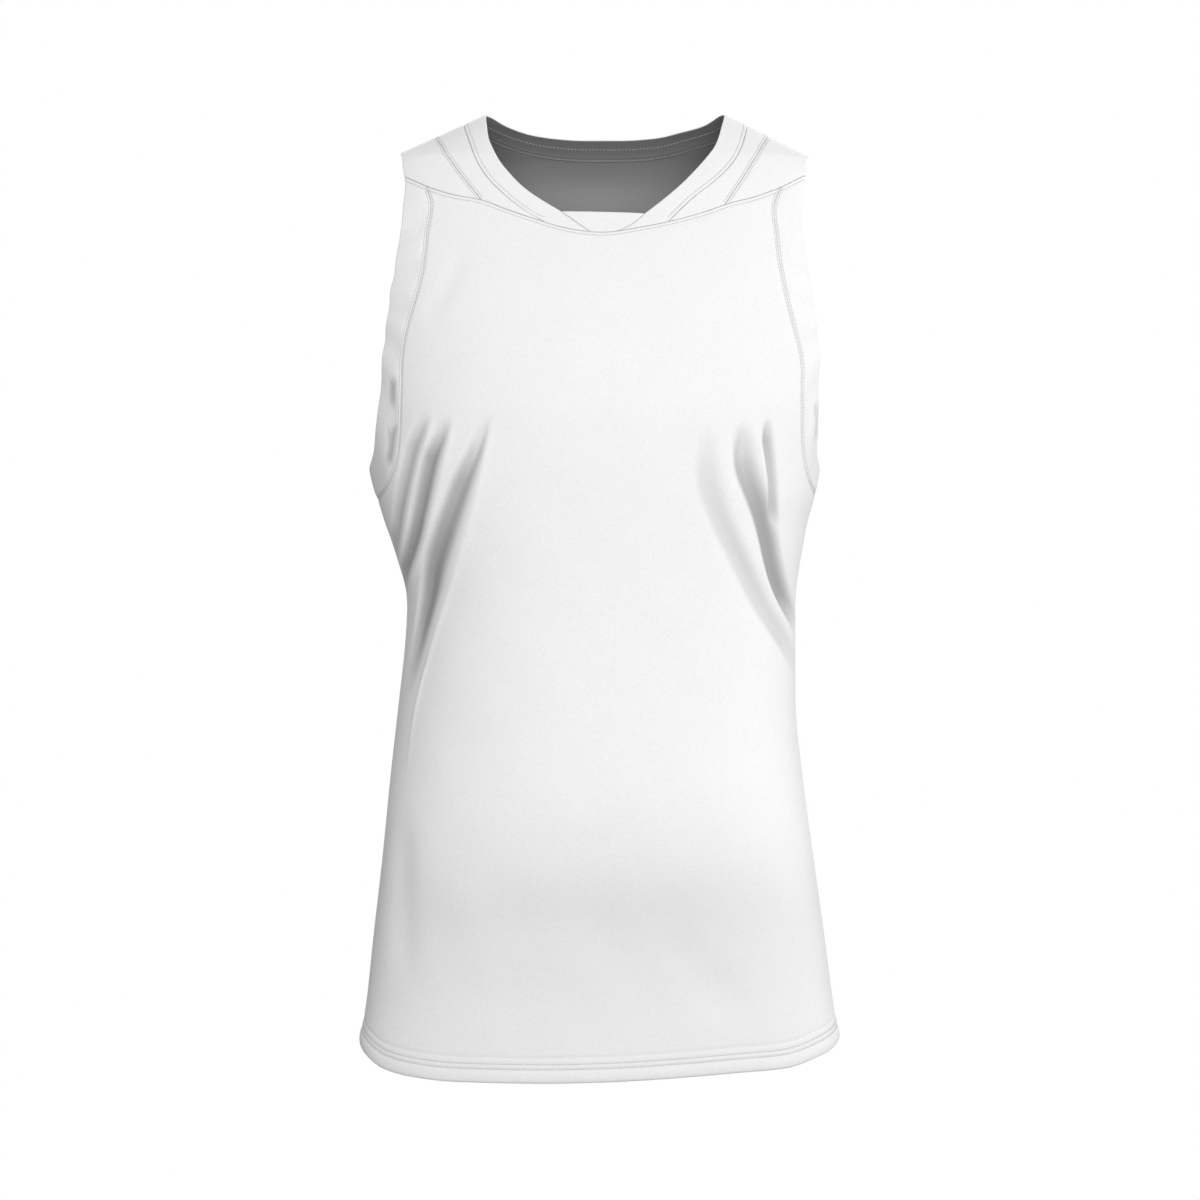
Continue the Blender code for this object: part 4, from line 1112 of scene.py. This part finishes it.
class JerseyCloth(bpy.types.PropertyGroup):
    wall: bpy.props.FloatProperty(
        name="Wall", description="Thickness of one layer of cloth",
        default=0.0015, min=0.0005, max=0.004, unit="LENGTH")
    cell: bpy.props.FloatProperty(
        name="Cell", description="Size of the mesh's cells where the cloth folds",
        default=0.00188, min=0.001, max=0.02, unit="LENGTH")
    seam_gap: bpy.props.FloatProperty(
        name="Seam gap", description="Gap between two pieces that are sewn together",
        default=0.00024, min=0.0, max=0.001, unit="LENGTH")
    colour: bpy.props.FloatVectorProperty(
        name="Colour", description="Outside of the knit",
        default=(0.94, 0.94, 0.943), min=0, max=1, size=3, subtype="COLOR")
    # painted shade: the inside's darker colour stands for the shade inside the garment
    inside_shaded_colour: bpy.props.FloatVectorProperty(
        name="Inside colour", description="Duller inside of the knit",
        default=(0.36, 0.36, 0.37), min=0, max=1, size=3, subtype="COLOR")
    # painted shade: how much darker the outside is painted below the waist
    low_painted_shade: bpy.props.FloatProperty(
        name="Low dulling", description="How much duller the cloth is below the waist",
        default=0.115, min=0, max=1, subtype="FACTOR")
    # painted shade: how much darker the inside is painted near the neckband
    neck_painted_shade: bpy.props.FloatProperty(
        name="Neck dulling", description="How much duller the inside is near the neckband",
        default=0.55, min=0, max=1, subtype="FACTOR")
    # painted shade: how much darker the cloth is painted in its seams
    seam_painted_shade: bpy.props.FloatProperty(
        name="Seam dulling", description="How much duller the cloth is in its seams",
        default=0.45, min=0, max=1, subtype="FACTOR")
    # painted shade: how much darker the cloth is painted in its creases
    crease_painted_shade: bpy.props.FloatProperty(
        name="Crease dulling", description="How much duller the cloth is in its creases",
        default=0.74, min=0, max=1, subtype="FACTOR")
    roughness: bpy.props.FloatProperty(
        name="Roughness", description="Roughness of the knit",
        default=0.62, min=0, max=1, subtype="FACTOR")
    loop_width: bpy.props.FloatProperty(
        name="Loop width", description="Width of one knit loop",
        default=0.0011, min=0.0003, max=0.004, unit="LENGTH")
    loop_height: bpy.props.FloatProperty(
        name="Loop height", description="Height of one knit loop",
        default=0.0009, min=0.0003, max=0.004, unit="LENGTH")
    knit_strength: bpy.props.FloatProperty(
        name="Knit strength", description="How strongly the loops stand out",
        default=0.35, min=0, max=1, subtype="FACTOR")


class JerseySewing(bpy.types.PropertyGroup):
    pitch: bpy.props.FloatProperty(
        name="Pitch", description="From one stitch to the next",
        default=0.0029, min=0.001, max=0.01, unit="LENGTH")
    length: bpy.props.FloatProperty(
        name="Length", description="Length of a stitch",
        default=0.0019, min=0.0005, max=0.01, unit="LENGTH")
    thickness: bpy.props.FloatProperty(
        name="Thickness", description="Thickness of the thread",
        default=0.0005, min=0.0001, max=0.002, unit="LENGTH")
    thread_colour: bpy.props.FloatVectorProperty(
        name="Thread colour", description="Colour of the thread",
        default=(0.64, 0.64, 0.65), min=0, max=1, size=3, subtype="COLOR")


class JerseyStage(bpy.types.PropertyGroup):
    ambient: bpy.props.FloatProperty(
        name="Ambient", description="Light from all round",
        default=0.34, min=0, max=4)
    front: bpy.props.FloatProperty(
        name="Front", description="Share of the light that comes from the front",
        default=0.655, min=0, max=4)
    side: bpy.props.FloatProperty(
        name="Side", description="Share of the light that comes from the right",
        default=0.445, min=0, max=4)
    back: bpy.props.FloatProperty(
        name="Back", description="Share of the light that comes from behind",
        default=0.34, min=0, max=4)
    floor_drop: bpy.props.FloatProperty(
        name="Floor drop", description="Height of the floor below the shoulders",
        default=-1.45, min=-5, max=0, unit="LENGTH")


# ---------------------------------------------------------------- operators

class SewStep(bpy.types.Operator):
    """Shared settings of the sewing steps"""
    bl_options = {"REGISTER", "UNDO"}

    def settings(self, context):
        return context.scene.jersey_cloth, context.scene.jersey_sewing


class JERSEY_OT_front_panel(SewStep):
    """Cut the front panel, with its folds and turned hem"""
    bl_idname = "jersey.front_panel"
    bl_label = "Front Panel"

    def execute(self, context):
        cloth, _ = self.settings(context)
        sew("front_panel", "knit_white", panel_grids(False, cloth.cell), [hem_line(0.0)],
            cloth, hem=True)
        return {"FINISHED"}


class JERSEY_OT_back_panel(SewStep):
    """Cut the back panel, with its folds and turned hem"""
    bl_idname = "jersey.back_panel"
    bl_label = "Back Panel"

    def execute(self, context):
        cloth, _ = self.settings(context)
        sew("back_panel", "knit_white", panel_grids(True, cloth.cell * 1.15),
            [hem_line(0.0, True)], cloth, hem=True)
        return {"FINISHED"}


class JERSEY_OT_shoulders(SewStep):
    """Cut the outer and inner shoulder pieces of both sides"""
    bl_idname = "jersey.shoulders"
    bl_label = "Shoulder Pieces"

    def execute(self, context):
        cloth, _ = self.settings(context)
        for word, H in SIDES:
            marks = H["marks"]
            top = straight(H["tip"], H["diagonal"][0])
            grid = quilted(top, cut(H["yoke"], 0, marks[2]), H["yoke_edge"], H["diagonal"],
                           SMALL_CELL)
            sew("yoke_" + word, "knit_white", [grid], [H["yoke_edge"]], cloth)
            top = straight(H["diagonal"][0], H["neck_outer"][0])
            grid = quilted(top, cut(H["yoke"], marks[2], marks[3]), H["diagonal"],
                           H["neck_outer"], SMALL_CELL)
            sew("strip_" + word, "knit_white", [grid], [], cloth)
        return {"FINISHED"}


class JERSEY_OT_armhole_bands(SewStep):
    """Cut the bands that go round the armholes"""
    bl_idname = "jersey.armhole_bands"
    bl_label = "Armhole Bands"

    def execute(self, context):
        cloth, _ = self.settings(context)
        for word, H in SIDES:
            edge = joined(H["front_edge"], H["back_edge"])
            seam = joined(H["front_seam"], H["back_seam"])
            grid = quilted(cut(H["yoke"], 0, H["marks"][1]),
                           straight(H["tip"], H["band_top"]), edge, seam, BAND_CELL,
                           BAND_ACROSS)
            sew("armhole_band_" + word, "band_white", [grid], [edge], cloth,
                waves=BAND_RIPPLE)
        return {"FINISHED"}


class JERSEY_OT_neckband(SewStep):
    """Cut the neckband and the small insert between its ends"""
    bl_idname = "jersey.neckband"
    bl_label = "Neckband"

    def execute(self, context):
        cloth, _ = self.settings(context)
        inner = joined(L["neck_inner"][::-1], BACK_INNER, R["neck_inner"])
        outer = joined(L["neck_outer"][::-1], BACK_OUTER, R["neck_outer"])
        grid = quilted(cut(L["yoke"], L["marks"][4], L["marks"][3]),
                       cut(R["yoke"], R["marks"][4], R["marks"][3]), inner, outer,
                       BAND_CELL, NECKBAND_WIDTH)
        edge = joined(L["neck_inner"][:400][::-1], BACK_INNER, R["neck_inner"][:400])
        sew("neckband", "band_white", [grid], [edge], cloth)
        bottom = cut(L["yoke"], L["marks"][4], 1 - R["marks"][4])
        bottom[-1] = R["insert_side"][-1]
        top = settle(straight(L["insert_side"][0], R["insert_side"][0], 200))
        grid = quilted(top, bottom, L["insert_side"], R["insert_side"], INSERT_CELL)
        sew("neck_insert", "band_white", [grid], [top], cloth)
        return {"FINISHED"}


class JERSEY_OT_stitches(SewStep):
    """Lay the rows of stitches along the seams and the hem"""
    bl_idname = "jersey.stitches"
    bl_label = "Stitches"

    def execute(self, context):
        cloth, sewing = self.settings(context)
        thread = thread_material(sewing)
        tree = stitch_tree(sewing)
        for name in dict.fromkeys(name for name, _ in STITCH_LINES):
            lines = []
            for row, line in STITCH_LINES:
                if row == name:
                    lift = relief(line) - 0.00030 + 0.25 * sewing.thickness
                    if name == "hem":
                        lift = lift + 0.0002
                    lines.append(line + outward(line) * lift[:, None])
            stitch_rows("stitches_" + name, lines, tree, thread, sewing)
        edge = sampled(BACK_INNER, np.linspace(0.02, 0.98, 700))
        inside = beside(edge, NECK_STITCHES)
        if inside[350, 1] < BACK_INNER[300, 1]:
            inside = beside(edge, -NECK_STITCHES)
        inside = inside - outward(inside) * (cloth.wall + 0.0001)
        stitch_rows("stitches_back_neck", [inside], tree, thread, sewing)
        return {"FINISHED"}


class JERSEY_OT_stage(SewStep):
    """Set up the pale floor, the soft light and the straight front camera"""
    bl_idname = "jersey.stage"
    bl_label = "Stage"

    def execute(self, context):
        stage = context.scene.jersey_stage
        world = bpy.data.worlds.new("white_studio")
        world.use_nodes = True
        tree = world.node_tree
        tree.nodes.clear()
        place = add_node(tree, "ShaderNodeTexCoord", {}).outputs["Generated"]
        parts = add_node(tree, "ShaderNodeSeparateXYZ", {"Vector": place}).outputs
        rise = add_node(tree, "ShaderNodeMapRange",
                        {"From Min": -1.0, "To Min": 0.45 * stage.ambient,
                         "To Max": 1.55 * stage.ambient,
                         "Value": scaled_sum(tree, parts["X"], 0.2, parts["Z"])})
        light, white = [
            add_node(tree, "ShaderNodeBackground",
                     {"Color": (1, 1, 1, 1), "Strength": strength}).outputs["Background"]
            for strength in (rise.outputs["Result"], 1.0)]
        ray = add_node(tree, "ShaderNodeLightPath", {}).outputs["Is Camera Ray"]
        mix = add_node(tree, "ShaderNodeMixShader", {"Fac": ray, 1: light, 2: white})
        add_node(tree, "ShaderNodeOutputWorld", {"Surface": mix.outputs["Shader"]})
        context.scene.world = world

        # each soft box: turn round from the front, rise, distance, size, share of the light
        for name, turn, rise, away, size, share in (
                ("front_light", 2, 7, 6.0, 3.0, stage.front),
                ("side_light", 98, 8, 4.5, 3.0, stage.side),
                ("back_light", 180, 32, 6.0, 3.0, stage.back)):
            turn, rise = math.radians(turn), math.radians(rise)
            where = away * Vector((math.sin(turn) * math.cos(rise),
                                   -math.cos(turn) * math.cos(rise), math.sin(rise)))
            where.z += LIGHTS_AIM
            lamp = bpy.data.lights.new(name, "AREA")
            lamp.energy, lamp.size = share * (math.pi * away) ** 2, size
            holder = bpy.data.objects.new(name, lamp)
            holder.location = where
            aim = Vector((0, 0, LIGHTS_AIM)) - where
            holder.rotation_euler = aim.to_track_quat("-Z", "Y").to_euler()
            context.scene.collection.objects.link(holder)

        camera = bpy.data.cameras.new("front_camera")
        camera.sensor_width, camera.lens = SENSOR, LENS
        holder = bpy.data.objects.new("front_camera", camera)
        holder.location = (SIGHT_X, -SIGHT_DISTANCE, SIGHT_Z)
        holder.rotation_euler = (math.pi / 2, 0, 0)
        context.scene.collection.objects.link(holder)
        context.scene.camera = holder
        context.scene.view_settings.view_transform = "Standard"

        turn = np.linspace(0, 2 * math.pi, 97)[:-1]
        rim = [(3 * math.cos(a), 3 * math.sin(a), stage.floor_drop) for a in turn]
        mesh = bpy.data.meshes.new("floor")
        mesh.from_pydata(rim, [], [list(range(len(rim)))])
        floor_material, _, shader = new_material("pale_floor")
        shader.inputs["Base Color"].default_value = (0.95, 0.95, 0.95, 1)
        shader.inputs["Roughness"].default_value = 0.9
        mesh.materials.append(floor_material)
        floor = bpy.data.objects.new("floor", mesh)
        context.scene.collection.objects.link(floor)
        floor.visible_diffuse = False
        return {"FINISHED"}


class JERSEY_PT_panel(bpy.types.Panel):
    bl_label = "Basketball Jersey"
    bl_idname = "JERSEY_PT_panel"
    bl_space_type = "VIEW_3D"
    bl_region_type = "UI"
    bl_category = "Jersey"

    def draw(self, context):
        scene = context.scene
        for group, heading in ((scene.jersey_cloth, "Cloth"), (scene.jersey_sewing, "Sewing"),
                               (scene.jersey_stage, "Stage")):
            box = self.layout.box()
            box.label(text=heading)
            for name in group.__annotations__:
                box.prop(group, name)
        for step in STEPS:
            self.layout.operator(step.bl_idname, text=step.bl_label)


STEPS = (JERSEY_OT_front_panel, JERSEY_OT_back_panel, JERSEY_OT_shoulders,
         JERSEY_OT_armhole_bands, JERSEY_OT_neckband, JERSEY_OT_stitches, JERSEY_OT_stage)
SETTINGS = (("jersey_cloth", JerseyCloth), ("jersey_sewing", JerseySewing),
            ("jersey_stage", JerseyStage))


def register():
    for name, group in SETTINGS:
        bpy.utils.register_class(group)
        setattr(bpy.types.Scene, name, bpy.props.PointerProperty(type=group))
    for item in (*STEPS, JERSEY_PT_panel):
        bpy.utils.register_class(item)


def unregister():
    for item in reversed((*STEPS, JERSEY_PT_panel)):
        bpy.utils.unregister_class(item)
    for name, group in reversed(SETTINGS):
        delattr(bpy.types.Scene, name)
        bpy.utils.unregister_class(group)


def main():
    register()
    for step in STEPS:
        area, name = step.bl_idname.split(".")
        if getattr(getattr(bpy.ops, area), name)() != {"FINISHED"}:
            raise RuntimeError("The step " + step.bl_label + " did not finish")


if __name__ == "__main__":
    main()
